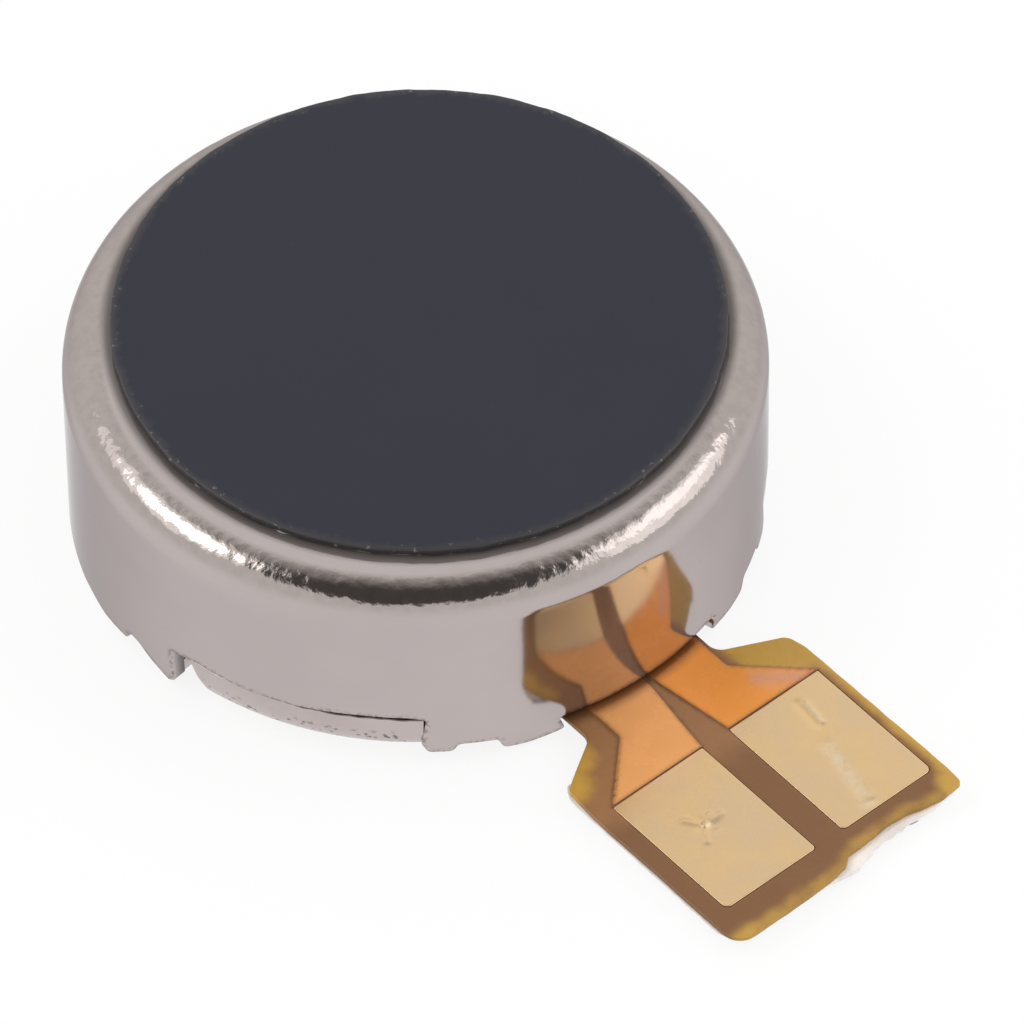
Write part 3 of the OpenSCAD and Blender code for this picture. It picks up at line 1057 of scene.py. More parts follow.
@dataclass(frozen=True)
class BlackSkin:
    """Satin skin of the black pad, with a greyer cut side and pale flecks at its edge.

    Attributes:
        colour: Colour of its face.
        cut: Colour of its cut side.
        fleck: Colour of the flecks and the dust.
        roughness: Middle roughness.
    """

    colour: Colour = (0.0045, 0.0050, 0.0195)
    cut: Colour = (0.034, 0.031, 0.033)
    fleck: Colour = srgb(124, 116, 104)
    roughness: float = 0.42

    def build(self) -> bpy.types.Material:
        """Makes the material.

        Returns:
            The material.
        """
        graph = Graph("black_skin")
        rim = graph.mark("rim")
        base = graph.mottled(graph.span(graph.noise(1.4, 4), 0.3, 0.7), self.colour, 0.08)
        base = graph.mix(rim, base, self.cut)
        flecks = graph.times(rim, graph.span(graph.noise(0.09, 3), 0.63, 0.72))
        base = graph.mix(flecks, base, self.fleck)
        dust = graph.span(graph.cells(0.55), 0.0, 0.03, 1.0, 0.0)
        dust = graph.times(dust, graph.span(graph.noise(1.3, 1), 0.55, 0.6))
        base = graph.mix(graph.times(dust, 0.2), base, self.fleck)
        fine = graph.noise(0.028, 3)
        graph.set(Base_Color=base)
        graph.set(Roughness=graph.span(fine, 0.3, 0.7, self.roughness * 0.9, self.roughness * 1.15))
        graph.bump(fine, 0.0007)
        graph.bump(graph.noise(0.5, 2), 0.0008)
        return graph.material


# ---- Geometry node trees ----


class GeometryTree(NodeTree):
    """A geometry node tree with named inputs, which ends in Realize Instances and Set Material."""

    def __init__(self, name: str) -> None:
        """Starts a tree with a geometry input and output.

        Args:
            name: Name of the tree.
        """
        super().__init__(bpy.data.node_groups.new(name, "GeometryNodeTree"))
        for way in ("INPUT", "OUTPUT"):
            self.tree.interface.new_socket(name="Geometry", in_out=way, socket_type="NodeSocketGeometry")
        self.inlet = self.add("NodeGroupInput")
        self.outlet = self.add("NodeGroupOutput")
        self.keys: dict[str, str] = {}

    def input(self, name: str, kind: str) -> Socket:
        """Adds a named input and returns the socket inside the tree.

        Args:
            name: Name of the input.
            kind: Blender's socket type.

        Returns:
            The socket that gives its value.
        """
        item = self.tree.interface.new_socket(name=name, in_out="INPUT", socket_type=kind)
        self.keys[name] = item.identifier
        return next(s for s in self.inlet.outputs if s.identifier == item.identifier)

    def vector(self, x: object = 0.0, y: object = 0.0, z: object = 0.0) -> Socket:
        """A vector from three values."""
        return self.add("ShaderNodeCombineXYZ", {"X": x, "Y": y, "Z": z}).outputs[0]

    def close(self, geometry: Socket, finish: bpy.types.Material) -> None:
        """Ends the tree.

        Args:
            geometry: What the tree has made.
            finish: Material of the whole.
        """
        whole = self.add("GeometryNodeRealizeInstances", {"Geometry": geometry})
        dressed = self.add("GeometryNodeSetMaterial", {"Geometry": whole.outputs[0], "Material": finish})
        self.link(dressed.outputs[0], self.outlet.inputs[0])

    def bake(self, values: dict[str, object], seed: bpy.types.Mesh | None = None) -> bpy.types.Mesh:
        """Runs the tree once and returns a plain mesh.

        Args:
            values: Value of each named input.
            seed: Mesh that goes into the tree.

        Returns:
            The evaluated mesh.
        """
        mesh = bpy.data.meshes.new("seed") if seed is None else seed
        carrier = placed("carrier", mesh)
        modifier = carrier.modifiers.new("tree", "NODES")
        modifier.node_group = self.tree
        for name, value in values.items():
            modifier[self.keys[name]] = value
        graph = bpy.context.evaluated_depsgraph_get()
        made = bpy.data.meshes.new_from_object(carrier.evaluated_get(graph), depsgraph=graph)
        bpy.data.objects.remove(carrier)
        return made


# ---- Sub-assemblies ----


def box(node: str) -> tuple[np.ndarray, np.ndarray]:
    """Lowest and highest corner of a CAD node, in millimetres."""
    low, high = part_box(node)
    return np.array(low) / MM, np.array(high) / MM


class Assembly(ABC):
    """A group of pieces that are built together and ride on one body."""

    body = Body.STATOR

    @abstractmethod
    def build(self) -> list[bpy.types.Object]:
        """Builds the pieces and hands them to the frame."""

    def own(self, piece: bpy.types.Object, slot: str, *nodes: str) -> bpy.types.Object:
        """Lets a piece ride on the body in place of CAD nodes.

        Args:
            piece: The piece.
            slot: Name of a material slot; not used.
            nodes: The CAD nodes that it stands for.

        Returns:
            The same piece.
        """
        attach(piece, self.body.value)
        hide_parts(*nodes)
        return piece

    def turned(self, name: str, section: np.ndarray, finish: bpy.types.Material, slot: str, node: str,
               columns: int = 192, closed: bool = True, swell: Plan | None = None) -> bpy.types.Object:
        """Builds one turned piece that stands for one node.

        Args:
            name: Name of the piece.
            section: Its section, as radius and height.
            finish: Its material.
            slot: Name of its material slot, passed on to own.
            node: The CAD node that it stands for.
            columns: Steps round the axis.
            closed: Whether the section's last point joins its first.
            swell: Extra radius and height over its surface.

        Returns:
            The piece.
        """
        data = Turned(section, columns, closed=closed, swell=swell).build()
        return self.own(data.object(name, [finish]), slot, node)

    def slab(self, name: str, outline: np.ndarray, finish: bpy.types.Material, slot: str, node: str,
             edge: float, step: float, **more: object) -> bpy.types.Object:
        """Builds one flat piece that stands for one node and is as high as it.

        Args:
            name: Name of the piece.
            outline: Its outline, anticlockwise.
            finish: Its material.
            slot: Name of its material slot, passed on to own.
            node: The CAD node that it stands for.
            edge: Radius of its rounded edges.
            step: Spacing of the points inside its faces.
            more: Further values of the slab.

        Returns:
            The piece.
        """
        low, high = box(node)
        data = Slab(Loop(outline), low[2], high[2], edge, step, **more).build()
        return self.own(data.object(name, [finish]), slot, node)


@dataclass
class CaseShell(Assembly):
    """The drawn case, with its notched rim and its polished, pitted shoulder.

    Attributes:
        wall: Thickness of the wall.
        shoulder: Radius of the shoulder.
        inner_shoulder: Radius of the shoulder on the inside.
        rim_edge: Radius of the rim's worn edges.
        band_top: Height where the notched band meets the plain wall.
        columns: Steps round the axis.
        seat: Radius and depth of the seat for the shaft's tip.
        ring_inner: Radius where the ring that shows beside the black pad ends.
        pit_depth: Depth of the dents in the shoulder.
        lean_fade: Angles from the tail between which the lean over the slot fades.
        rim: Angle from the tail, lift and corner radius of each corner of the rim's outline.
    """

    wall: float = 0.25
    shoulder: float = 0.55
    inner_shoulder: float = 0.35
    rim_edge: float = 0.028
    band_top: float = 1.2
    columns: int = 1080
    seat: tuple[float, float] = (0.42, 0.12)
    ring_inner: float = 4.15
    pit_depth: float = 0.0035
    lean_fade: tuple[float, float] = (20, 72)
    rim: tuple[tuple[float, float, float], ...] = (
        (112, 0.04, 0.3), (108, 0.07, 0.3), (103, 0.07, 0.3), (99, 0.13, 0.2), (96.1, 0.17, 0.06),
        (95.0, 0.36, 0.08), (92.6, 0.35, 0.12), (89.2, 0.22, 0.10), (85.2, 0.10, 0.05), (84.0, 0.16, 0.04),
        (84.3, 0.79, 0.05), (78.0, 0.90, 0.3), (70.0, 0.85, 0.6), (62.0, 0.86, 0.6), (50.0, 0.92, 0.6),
        (42.0, 0.92, 0.3), (39.0, 0.87, 0.06), (39.8, 0.36, 0.08), (38.8, 0.18, 0.10), (34.6, 0.17, 0.10),
        (33.8, 0.31, 0.10), (27.3, 0.29, 0.08), (26.4, 0.09, 0.12), (22.0, 0.09, 0.15), (15.8, 0.16, 0.05),
        (17.0, 0.43, 0.06))

    def build(self) -> list[bpy.types.Object]:
        """Builds the case.

        Returns:
            The case, alone in a list.
        """
        self.radius = float(box("case")[1][0])
        self.height = float(box("case")[1][2])
        data = MeshData()
        lower = self._band(data)
        band = data.count
        Turned(self._outer_section(), self.columns, swell=self._pits).build(data)
        Turned(self._inner_section(), self.columns, flip=True).build(data)
        place = data.place()
        out = np.hypot(place[:, 0], place[:, 1])
        wear = np.zeros(data.count)
        wear[:band] = 1 - smoothstep(0.0, 0.10, nearest(data.plan()[:band], lower))
        wear[out < self.radius - 0.02] = 0
        marks = {"polish": self._polish(place), "wear": wear, "shade": self._shade(place, out),
                 "over_slot": self._over_slot(place)}
        return [self.own(data.object("drawn_case", [NickelPlate().build()], marks), "nickel_case", "case")]

    def _band(self, data: MeshData) -> np.ndarray:
        """Adds the notched band and returns its lower outline, unrolled.

        Args:
            data: What the shape is added to.

        Returns:
            The outline.
        """
        half = math.pi * self.radius
        base = self.rim[0][1]
        degree = math.radians(self.radius)
        seen = [(-angle * degree, lift, radius) for angle, lift, radius in self.rim]
        far = [(-u, lift, radius) for u, lift, radius in reversed(seen)]
        lower = rounded([(-half, base, 0), *seen, *far, (half, base, 0)], 0.05, closed=False)
        rows = np.linspace(base + 2.5 * self.rim_edge, self.band_top, 20)[:-1]
        top = np.linspace(half, -half, self.columns + 1)
        plan = np.concatenate([
            lower,
            np.column_stack([np.full(len(rows), half), rows]),
            np.column_stack([top, np.full(len(top), self.band_top)]),
            np.column_stack([np.full(len(rows), -half), rows[::-1]])])
        free = np.arange(len(plan)) < len(lower)
        Slab(Loop(plan, free), self.radius - self.wall, self.radius, self.rim_edge, 0.06,
             place=self._wrap).build(data)
        return lower

    def _wrap(self, plan: np.ndarray, level: np.ndarray) -> np.ndarray:
        """Wraps the unrolled wall round the axis; the level is the radius."""
        return around(level, plan[:, 0] / self.radius, plan[:, 1])

    def _outer_section(self) -> np.ndarray:
        """Outside of the case from the band to the middle of the closed end.

        Returns:
            Radius and height of each point.
        """
        bend = self.height - self.shoulder
        wall = np.column_stack([np.full(8, self.radius), np.linspace(self.band_top, bend, 9)[:-1]])
        shoulder = arc((self.radius - self.shoulder, bend), self.shoulder, 0, 90, 0.022)
        ring = np.linspace(self.radius - self.shoulder, self.ring_inner, 8)[1:]
        inner = np.concatenate([ring, [3.2, 1.8, 0.6, 0.0]])
        return np.concatenate([wall, shoulder, np.column_stack([inner, np.full(len(inner), self.height)])])

    def _inner_section(self) -> np.ndarray:
        """Inside of the case from the band to the seat of the shaft's tip.

        Returns:
            Radius and height of each point.
        """
        ceiling = self.height - self.wall
        inside = self.radius - self.wall
        seat_r, seat_depth = self.seat
        bend = self.inner_shoulder
        return np.concatenate([
            [(inside, self.band_top), (inside, 2.0)],
            arc((inside - bend, ceiling - bend), bend, 0, 90, 0.08),
            [(3.0, ceiling), (1.2, ceiling), (seat_r + 0.02, ceiling), (seat_r, ceiling + 0.02),
             (seat_r, ceiling + seat_depth - 0.02), (seat_r - 0.02, ceiling + seat_depth),
             (0.0, ceiling + seat_depth)]])

    def _turn(self, points: np.ndarray) -> np.ndarray:
        """Angle of each point round the shoulder in degrees, below 0 on the wall, above 90 on the ring.

        Args:
            points: Points, one row each.

        Returns:
            One angle for each point.
        """
        out = np.hypot(points[:, 0], points[:, 1]) - (self.radius - self.shoulder)
        up = points[:, 2] - (self.height - self.shoulder)
        turn = np.degrees(np.arctan2(up, out))
        above = np.where(out < 0, 90 - out / self.shoulder * 90, turn)
        return np.where(up < 0, up / self.shoulder * 90, above)

    def _shade(self, points: np.ndarray, out: np.ndarray) -> np.ndarray:
        """Share of shadow on each point: beside the black pad, and across the wall's thickness.

        Args:
            points: Points, one row each.
            out: Their distance from the axis.

        Returns:
            One share for each point.
        """
        low, high = box("top_pad")
        gap = np.hypot(*(points[:, :2] - (low + high)[:2] / 2).T) - float(high[0] - low[0]) / 2
        groove = (1 - smoothstep(0.02, 0.19, gap)) * (points[:, 2] > self.height - self.shoulder)
        inside = 1 - smoothstep(self.radius - self.wall, self.radius - 0.02, out)
        beside_slot = smoothstep(17, 19, from_tail(points))
        return np.where(points[:, 2] < self.band_top, inside * beside_slot * 0.8, groove * 0.75)

    def _over_slot(self, points: np.ndarray) -> np.ndarray:
        """Share of the lean over the slot at each point."""
        return 1 - smoothstep(*self.lean_fade, from_tail(points))

    def _polish(self, points: np.ndarray) -> np.ndarray:
        """Share of polish on each point, which also carries the shoulder's painted shade: 1 on the shoulder.
        """
        turn = self._turn(points)
        return smoothstep(24, 42, turn) * (1 - smoothstep(86, 98, turn))

    def _pits(self, points: np.ndarray) -> np.ndarray:
        """Height of the shoulder's dents at each point.

        Args:
            points: Points, one row each.

        Returns:
            One height for each point, below 0 in a dent.
        """
        share = self._polish(points)
        height = np.zeros(len(points))
        share = np.maximum(share, smoothstep(2, 14, self._turn(points)) * 0.35)
        dented = share > 0
        height[dented] = Relief(3, 0.22, 3).at(points[dented]) * self.pit_depth * share[dented]
        return np.minimum(height, 0.002)


@dataclass
class Bracket(Assembly):
    """The stamped bracket: a plate, two lugs that stand in the rim's windows and the shaft's boss.

    Attributes:
        thickness: Thickness of the sheet.
        plate_r: Radius of the plate.
        lug_r: Outside radius of the lugs.
        bend: Outside radius of the bend into a lug.
        root: Width of flat sheet that belongs to the lug.
        lug_angles: First and last angle of a lug from the tail.
        slant: How much later the lug ends at its top than at its bend.
        recess: First and last angle of the plate's recess at a lug.
        lug_top: Height of the lugs.
        boss_r: Radius of the boss.
        bore_r: Radius of the bore that the shaft is pressed into.
    """

    thickness: float = 0.25
    plate_r: float = 4.70
    lug_r: float = 4.98
    bend: float = 0.62
    root: float = 0.05
    lug_angles: tuple[float, float] = (39.3, 77.6)
    slant: float = 2.6
    recess: tuple[float, float] = (39.0, 85.5)
    lug_top: float = 0.85
    boss_r: float = 0.70
    bore_r: float = 0.40

    def build(self) -> list[bpy.types.Object]:
        """Builds the bracket as one piece.

        Returns:
            The bracket, alone in a list.
        """
        data = MeshData()
        first, last = self.recess
        inner_r = self.lug_r - self.bend - self.root
        outline = np.concatenate([
            arc((0, 0), self.plate_r, -180, -last, 0.1), arc((0, 0), inner_r, -last, -first, 0.1),
            arc((0, 0), self.plate_r, -first, first, 0.1), arc((0, 0), inner_r, first, last, 0.1),
            arc((0, 0), self.plate_r, last, 180, 0.1)[:-1]])
        Slab(Loop(divided(outline, 0.1)), 0.0, self.thickness, 0.02, 0.22,
             holes=[hole(circle((0, 0), self.bore_r, 0.05))]).build(data)
        boss_top = float(box("bracket")[1][2])
        boss = turned_ring(self.boss_r, self.bore_r, self.thickness - 0.01, boss_top, 0.03)
        Turned(boss, 96, closed=True).build(data)
        start = data.count
        for side in (-1, 1):
            self._lug(side, data)
        low = data.place()[:, 2]
        wear = np.where(np.arange(data.count) >= start, 1 - smoothstep(0.46, 0.66, low), 0.15)
        marks = {"wear": wear, "polish": np.zeros(data.count)}
        piece = data.object("stamped_bracket", [StampedSteel().build()], marks)
        return [self.own(piece, "bracket_steel", "bracket")]

    def _lug(self, side: int, data: MeshData) -> None:
        """Adds one lug, swept round the axis from its section.

        Args:
            side: 1 for the +Y side, -1 for the other.
            data: What the shape is added to.
        """
        x = self.lug_r - self.bend
        outside = arc((x, self.bend), self.bend, -90, 0, 0.06)
        inside = arc((x, self.bend), self.bend - self.thickness, 0, -90, 0.06)
        top = rounded([(self.lug_r, self.bend, 0), (self.lug_r, self.lug_top, 0.03),
                       (self.lug_r - self.thickness, self.lug_top, 0.06),
                       (self.lug_r - self.thickness, self.bend, 0)], 0.05, closed=False)
        start = np.array([(x - self.root, self.thickness), (x - self.root, 0.0)])
        section = divided(np.concatenate([outside, top[1:-1], inside, start]), 0.06)
        first, last = self.lug_angles
        low, high = (math.radians(angle) * self.lug_r for angle in (first, last))
        if side > 0:
            low, high = -high, -low
        wander = Relief(14, 0.30, 3)

        def swing(plan: np.ndarray, level: np.ndarray) -> np.ndarray:
            """Swings the section to its angle; the level is the arc travelled.

            Args:
                plan: Points of the section.
                level: Arc travelled by each.

            Returns:
                The points in space.
            """
            share = np.abs(level) / self.lug_r - math.radians(first)
            share = share / math.radians(last - first)
            rise = smoothstep(0.30, self.lug_top, plan[:, 1])
            angle = np.abs(level) / self.lug_r + math.radians(self.slant) * rise * smoothstep(0.9, 1.0, share)
            angle = angle * np.where(level > 0, -1, 1)
            top = smoothstep(self.lug_top - 0.08, self.lug_top, plan[:, 1])
            height = plan[:, 1] + top * wander.at(np.column_stack([level, level * 0])) * 0.020
            return around(plan[:, 0], angle, height)

        Slab(Loop(section), low, high, 0.02, 0.08, place=swing, spans=90).build(data)


@dataclass(frozen=True)
class StampedSteel:
    """Sheet steel of the bracket, torn and specked along the lugs' lower edges.

    Attributes:
        colour: Its colour.
        speck: Colour of the specks.
        roughness: Least roughness.
    """

    colour: Colour = srgb(186, 175, 172)
    speck: Colour = srgb(70, 60, 58)
    roughness: float = 0.16

    def build(self) -> bpy.types.Material:
        """Makes the material.

        Returns:
            The material.
        """
        graph = Graph("stamped_steel")
        wear = graph.mark("wear")
        streaks = graph.noise(0.12, 4)
        base = graph.mix(graph.span(graph.noise(0.8, 3), 0.3, 0.7), lighter(self.colour, 0.94),
                         lighter(self.colour, 1.04))
        dark = graph.times(wear, graph.span(graph.noise(0.10, 3), 0.56, 0.66))
        base = graph.mix(graph.times(dark, 0.85), base, self.speck)
        graph.set(Base_Color=base, Metallic=1.0)
        rough = graph.span(streaks, 0.3, 0.7, self.roughness, self.roughness * 1.3)
        graph.set(Roughness=graph.maths("ADD", rough, graph.times(wear, 0.1)))
        graph.bump(graph.times(graph.noise(0.06, 4), wear), 0.006)
        graph.bump(streaks, 0.0006)
        return graph.material


@dataclass
class FlexTail(Assembly):
    """The flexible circuit: films, traces, contact pads, stiffener and adhesive.

    Attributes:
        neck_near: Half width of the neck on the -Y side.
        neck_far: Half width of the neck on the +Y side.
        disc_r: Radius of the film's disc round the boss.
        boss_gap: Radius of the opening for the boss.
        step: Spacing of points on the cover film.
        raise_copper: Height that buried copper lifts the cover film.
        window: Width of film pulled back round each pad.
        trace: Corners of the +Y trace, from brush land to pad, as x, y and radius.
    """

    neck_near: float = 1.34
    neck_far: float = 1.055
    disc_r: float = 1.70
    boss_gap: float = 0.75
    step: float = 0.045
    raise_copper: float = 0.012
    window: float = 0.010
    trace: tuple[tuple[float, float, float], ...] = (
        (1.20, 0.06, 0.05), (5.20, 0.06, 0.1), (6.45, 0.25, 0.0), (6.45, 1.91, 0.0), (5.55, 1.0, 0.12),
        (1.145, 1.0, 0.03), (1.145, 1.20, 0.05), (0.585, 1.20, 0.05), (0.585, 0.80, 0.05), (1.10, 0.80, 0.03),
        (1.10, 0.40, 0.05))

    def build(self) -> list[bpy.types.Object]:
        """Builds the tail's pieces from the bottom up.

        Returns:
            The pieces.
        """
        # The fourth colour of each film is the painted shade of its line mark.
        self.amber = Film("amber_bare", srgb(152, 106, 64), srgb(124, 83, 44), srgb(194, 150, 60),
                          srgb(84, 54, 36)).build()
        self.copper_film = Film("amber_on_copper", srgb(237, 168, 100), srgb(238, 151, 62),
                                srgb(236, 158, 78), srgb(120, 68, 40), 0.28, 0.35).build()
        self.copper = Metal("etched_copper", srgb(214, 132, 92), 0.28, Grain.SATIN, 0.04).build()
        self.gold = GoldPlate().build()
        pieces = [self._adhesive(), self._stiffener(), self._base_film(), self._cover_film()]
        for side, word in ((1, "positive"), (-1, "negative")):
            pieces.append(self._trace_piece(side, word))
            pieces.append(self._pad(side, word))
        return pieces

    def _outline(self, step: float, grow: float = 0.0) -> np.ndarray:
        """Outline of the films: a disc round the boss, a neck and the wide tail.

        Args:
            step: Longest distance between neighbours.
            grow: How far the wide sides are moved out.

        Returns:
            The outline, anticlockwise.
        """
        low, high = box("flex_base_film")
        end, near, far = high[0], low[1] - grow, high[1] + grow
        start = math.degrees(math.asin(self.neck_near / self.disc_r))
        stop = math.degrees(math.asin(self.neck_far / self.disc_r))
        disc = arc((0, 0), self.disc_r, stop, 360 - start, step)
        tail = rounded([
            (*polar(self.disc_r, -start), 0), (5.28, -self.neck_near, 0.24), (5.80, near + 0.05, 0.14),
            (6.4, near, 0.6), (9.10, near, 0.3), (end - 0.02, near + 0.05, 0.28), (end, -1.2, 1.5),
            (end - 0.03, -0.42, 0.25), (end - 0.09, -0.14, 0.05), (end - 0.21, 0.01, 0.05),
            (end - 0.22, 0.26, 0.08), (end - 0.24, 0.52, 0.08), (end - 0.27, 0.77, 0.10),
            (end - 0.24, 1.10, 0.20), (end - 0.18, 1.34, 0.20), (end - 0.11, 1.69, 0.12),
            (end - 0.15, far - 0.03, 0.06), (8.95, far, 0.5), (6.0, far - 0.03, 0.5),
            (5.70, far - 0.10, 0.22), (5.24, self.neck_far, 0.24), (*polar(self.disc_r, stop), 0)],
            step, closed=False)
        ragged = tail + self._ragged(tail)[:, None] * np.array([[1.0, 0.6]])
        return np.concatenate([ragged[:-1], disc[:-1]])

    @staticmethod
    def _ragged(points: np.ndarray) -> np.ndarray:
        """Small wander of the cut edge, none of it inside the case."""
        return Relief(11, 0.35, 3).at(points) * 0.010 * smoothstep(5.3, 6.0, points[:, 0])

    def _trace_outline(self, side: int, step: float = 0.04) -> np.ndarray:
        """Outline of one trace, anticlockwise."""
        points = rounded(self.trace, step)
        return points if side > 0 else (points * [1, -1])[::-1]

    def _base_film(self) -> bpy.types.Object:
        """The film under the copper.

        Returns:
            The piece.
        """
        low, high = box("flex_base_film")
        opening = hole(circle((0, 0), self.boss_gap, 0.06))
        data = Slab(Loop(self._outline(0.05)), low[2], high[2], 0.012, 0.16, holes=[opening]).build()
        plan = data.plan()
        marks = {"fringe": self._fringe(plan), "tint": smoothstep(6.2, 7.2, plan[:, 0])}
        return self.own(data.object("base_film", [self.amber], marks), "amber_film", "flex_base_film")

    def _pad_rect(self, side: int, grow: float, radius: float) -> np.ndarray:
        """Outline of one pad, anticlockwise.

        Args:
            side: 1 for the +Y side, -1 for the other.
            grow: How far it is larger than the pad.
            radius: Radius of its free corners.

        Returns:
            The outline.
        """
        low, high = box("contact_pad_positive" if side > 0 else "contact_pad_negative")
        x0, y0, x1, y1 = low[0] - grow, low[1] - grow, high[0] + grow, high[1] + grow
        inner, outer = (y0, y1) if side > 0 else (y1, y0)
        tight = 0.25 * radius
        corners = {(x0, inner): tight, (x1, inner): radius, (x1, outer): 1.6 * radius, (x0, outer): tight}
        order = [(x0, y0), (x1, y0), (x1, y1), (x0, y1)]
        return rounded([(x, y, corners[(x, y)]) for x, y in order], 0.035)

    def _foot_window(self, side: int) -> np.ndarray:
        """Opening in the cover film over one brush's foot, anticlockwise.

        Args:
            side: 1 for the +Y side, -1 for the other.

        Returns:
            The outline.
        """
        near, far = (0.77, 1.21) if side > 0 else (-1.21, -0.77)
        corners = [(0.574, near, 0.04), (1.174, near, 0.04), (1.174, far, 0.04), (0.574, far, 0.04)]
        return rounded(corners, 0.05)

    def _cover_film(self) -> bpy.types.Object:
        """The film over the copper, lifted by it and open over pads and feet.

        Returns:
            The piece.
        """
        low, high = box("flex_cover_film")
        outlines = [self._trace_outline(side) for side in (1, -1)]
        holes = [hole(circle((0, 0), self.boss_gap, 0.05))]
        holes += [hole(self._pad_rect(side, self.window, 0.06)) for side in (1, -1)]
        holes += [hole(self._foot_window(side)) for side in (1, -1)]
        creases = []
        for side in (1, -1):
            inner = divided(np.array([(5.05, 0.06), (5.20, 0.066), (6.39, 0.246)]), 0.035, closed=False)
            outer = rounded([(4.2, 1.0, 0), (5.55, 1.0, 0.12), (6.39, 1.87, 0)], 0.035, closed=False)
            creases += [inner * [1, side], outer * [1, side]]

        def lift(plan: np.ndarray) -> np.ndarray:
            """Height that the copper lifts the film."""
            return self.raise_copper * self._over_copper(plan, outlines)

        data = Slab(
            Loop(self._outline(0.035)), low[2], high[2] - self.raise_copper, 0.01, self.step, holes=holes,
            creases=creases, top=lift, slot=lambda plan: enclosed(plan, outlines).astype(int)).build()
        plan = data.plan()
        edge = np.concatenate(outlines)
        gap = nearest(plan, divided(edge, 0.02))
        # Painted shade along the buried trace edges.
        line = (1 - smoothstep(0.01, 0.05, gap)) * smoothstep(4.9, 5.0, plan[:, 0]) * 0.5
        out = np.hypot(plan[:, 0], plan[:, 1])
        # Painted shadow on the film round the case's slot edge.
        under = smoothstep(4.80, 4.92, out) * (1 - smoothstep(4.98, 5.24, out)) * 0.85
        over = enclosed(plan, outlines)
        stain = self._stroke(plan, (6.02, 1.16), (6.40, 1.66), 0.13) * 0.8
        tint = np.where(over, smoothstep(-0.1, 0.1, plan[:, 1]), smoothstep(6.2, 7.2, plan[:, 0]))
        marks = {"fringe": self._fringe(plan), "line": np.maximum(line, under), "tint": tint, "stain": stain}
        piece = data.object("cover_film", [self.amber, self.copper_film], marks)
        return self.own(piece, "amber_film", "flex_cover_film")

    @staticmethod
    def _over_copper(plan: np.ndarray, outlines: Sequence[np.ndarray]) -> np.ndarray:
        """Share of each plan point that lies over buried copper, smooth across its edge.

        Args:
            plan: Plan points.
            outlines: Outlines of the traces.

        Returns:
            One share for each point.
        """
        gap = nearest(plan, np.concatenate([divided(run, 0.02) for run in outlines]))
        signed = np.where(enclosed(plan, outlines), gap, -gap)
        return smoothstep(-0.035, 0.025, signed)

    @staticmethod
    def _fringe(plan: np.ndarray) -> np.ndarray:
        """Share of yellow at each plan point of the film.

        Args:
            plan: Plan points.

        Returns:
            One share for each point.
        """
        high = box("flex_base_film")[1]
        x, y = plan[:, 0], plan[:, 1]
        far = smoothstep(high[1] - 0.30, high[1] + 0.02, y)
        border = high[0] - 0.20 * smoothstep(-0.35, 0.15, y) * (1 - 0.5 * smoothstep(1.1, 1.7, y))
        end = smoothstep(-0.36, -0.06, x - border)
        neck = smoothstep(1.0, 1.25, y) * smoothstep(4.9, 5.3, x) * (1 - smoothstep(6.2, 6.6, x))
        corner = 1 - smoothstep(0.10, 0.62, np.hypot(x - 5.72, y + 2.15))
        near_neck = (1 - smoothstep(0.1, 0.5, np.hypot(x - 5.45, y + 1.72))) * 0.8
        end = end * (0.55 + 0.2 * smoothstep(1.2, 2.0, -y))
        tip = 1 - smoothstep(0.10, 0.50, np.hypot(x - high[0] + 0.18, y - high[1] + 0.08))
        return np.clip(np.maximum.reduce([far * 0.9, end, neck * 0.85, corner, near_neck, tip]), 0, 1)

    def _trace_piece(self, side: int, word: str) -> bpy.types.Object:
        """One copper trace."""
        return self.slab(f"trace_{word}", self._trace_outline(side, 0.06), self.copper, "copper_trace",
                         f"flex_trace_{word}", 0.005, 0.2)

    def _pad(self, side: int, word: str) -> bpy.types.Object:
        """One gold contact pad, with the mark that a test probe left.

        Args:
            side: 1 for the +Y side, -1 for the other.
            word: Word for that side in the node's name.

        Returns:
            The pad.
        """
        low, high = box(f"contact_pad_{word}")
        top = self._dent if side > 0 else self._probe_mark
        data = Slab(Loop(self._pad_rect(side, 0.0, 0.06)), low[2], high[2], 0.007, 0.022, top=top).build()
        piece = data.object(f"pad_{word}", [self.gold], {"scuff": self._scuff_and_glint(data.plan())})
        return self.own(piece, "gold_pad", f"contact_pad_{word}")

    @staticmethod
    def _stroke(plan: np.ndarray, start: Sequence[float], end: Sequence[float], width: float) -> np.ndarray:
        """Soft bump along a straight stroke, 1 on its line.

        Args:
            plan: Plan points.
            start: Where the stroke begins.
            end: Where it ends.
            width: Half of its width.

        Returns:
            One value for each point.
        """
        a, b = np.array(start), np.array(end)
        share = np.clip(((plan - a) @ (b - a)) / ((b - a) @ (b - a)), 0, 1)
        away = np.linalg.norm(plan - (a + share[:, None] * (b - a)), axis=1)
        return np.exp(-(away / width) ** 2)

    def _probe_mark(self, plan: np.ndarray) -> np.ndarray:
        """Star-shaped mark of a test probe, as height over the pad.

        Args:
            plan: Plan points.

        Returns:
            One height for each point.
        """
        centre = (7.53, -1.15)
        arms = ((7.28, -1.32, 0.055), (7.52, -0.84, 0.055), (7.78, -1.32, 0.05), (7.42, -0.98, 0.045))
        height = -0.016 * self._stroke(plan, centre, (7.60, -1.06), 0.10)
        for x, y, width in arms:
            height += 0.008 * self._stroke(plan, centre, (x, y), width)
        return height + 0.0007 * Relief(5, 0.5, 2).at(plan)

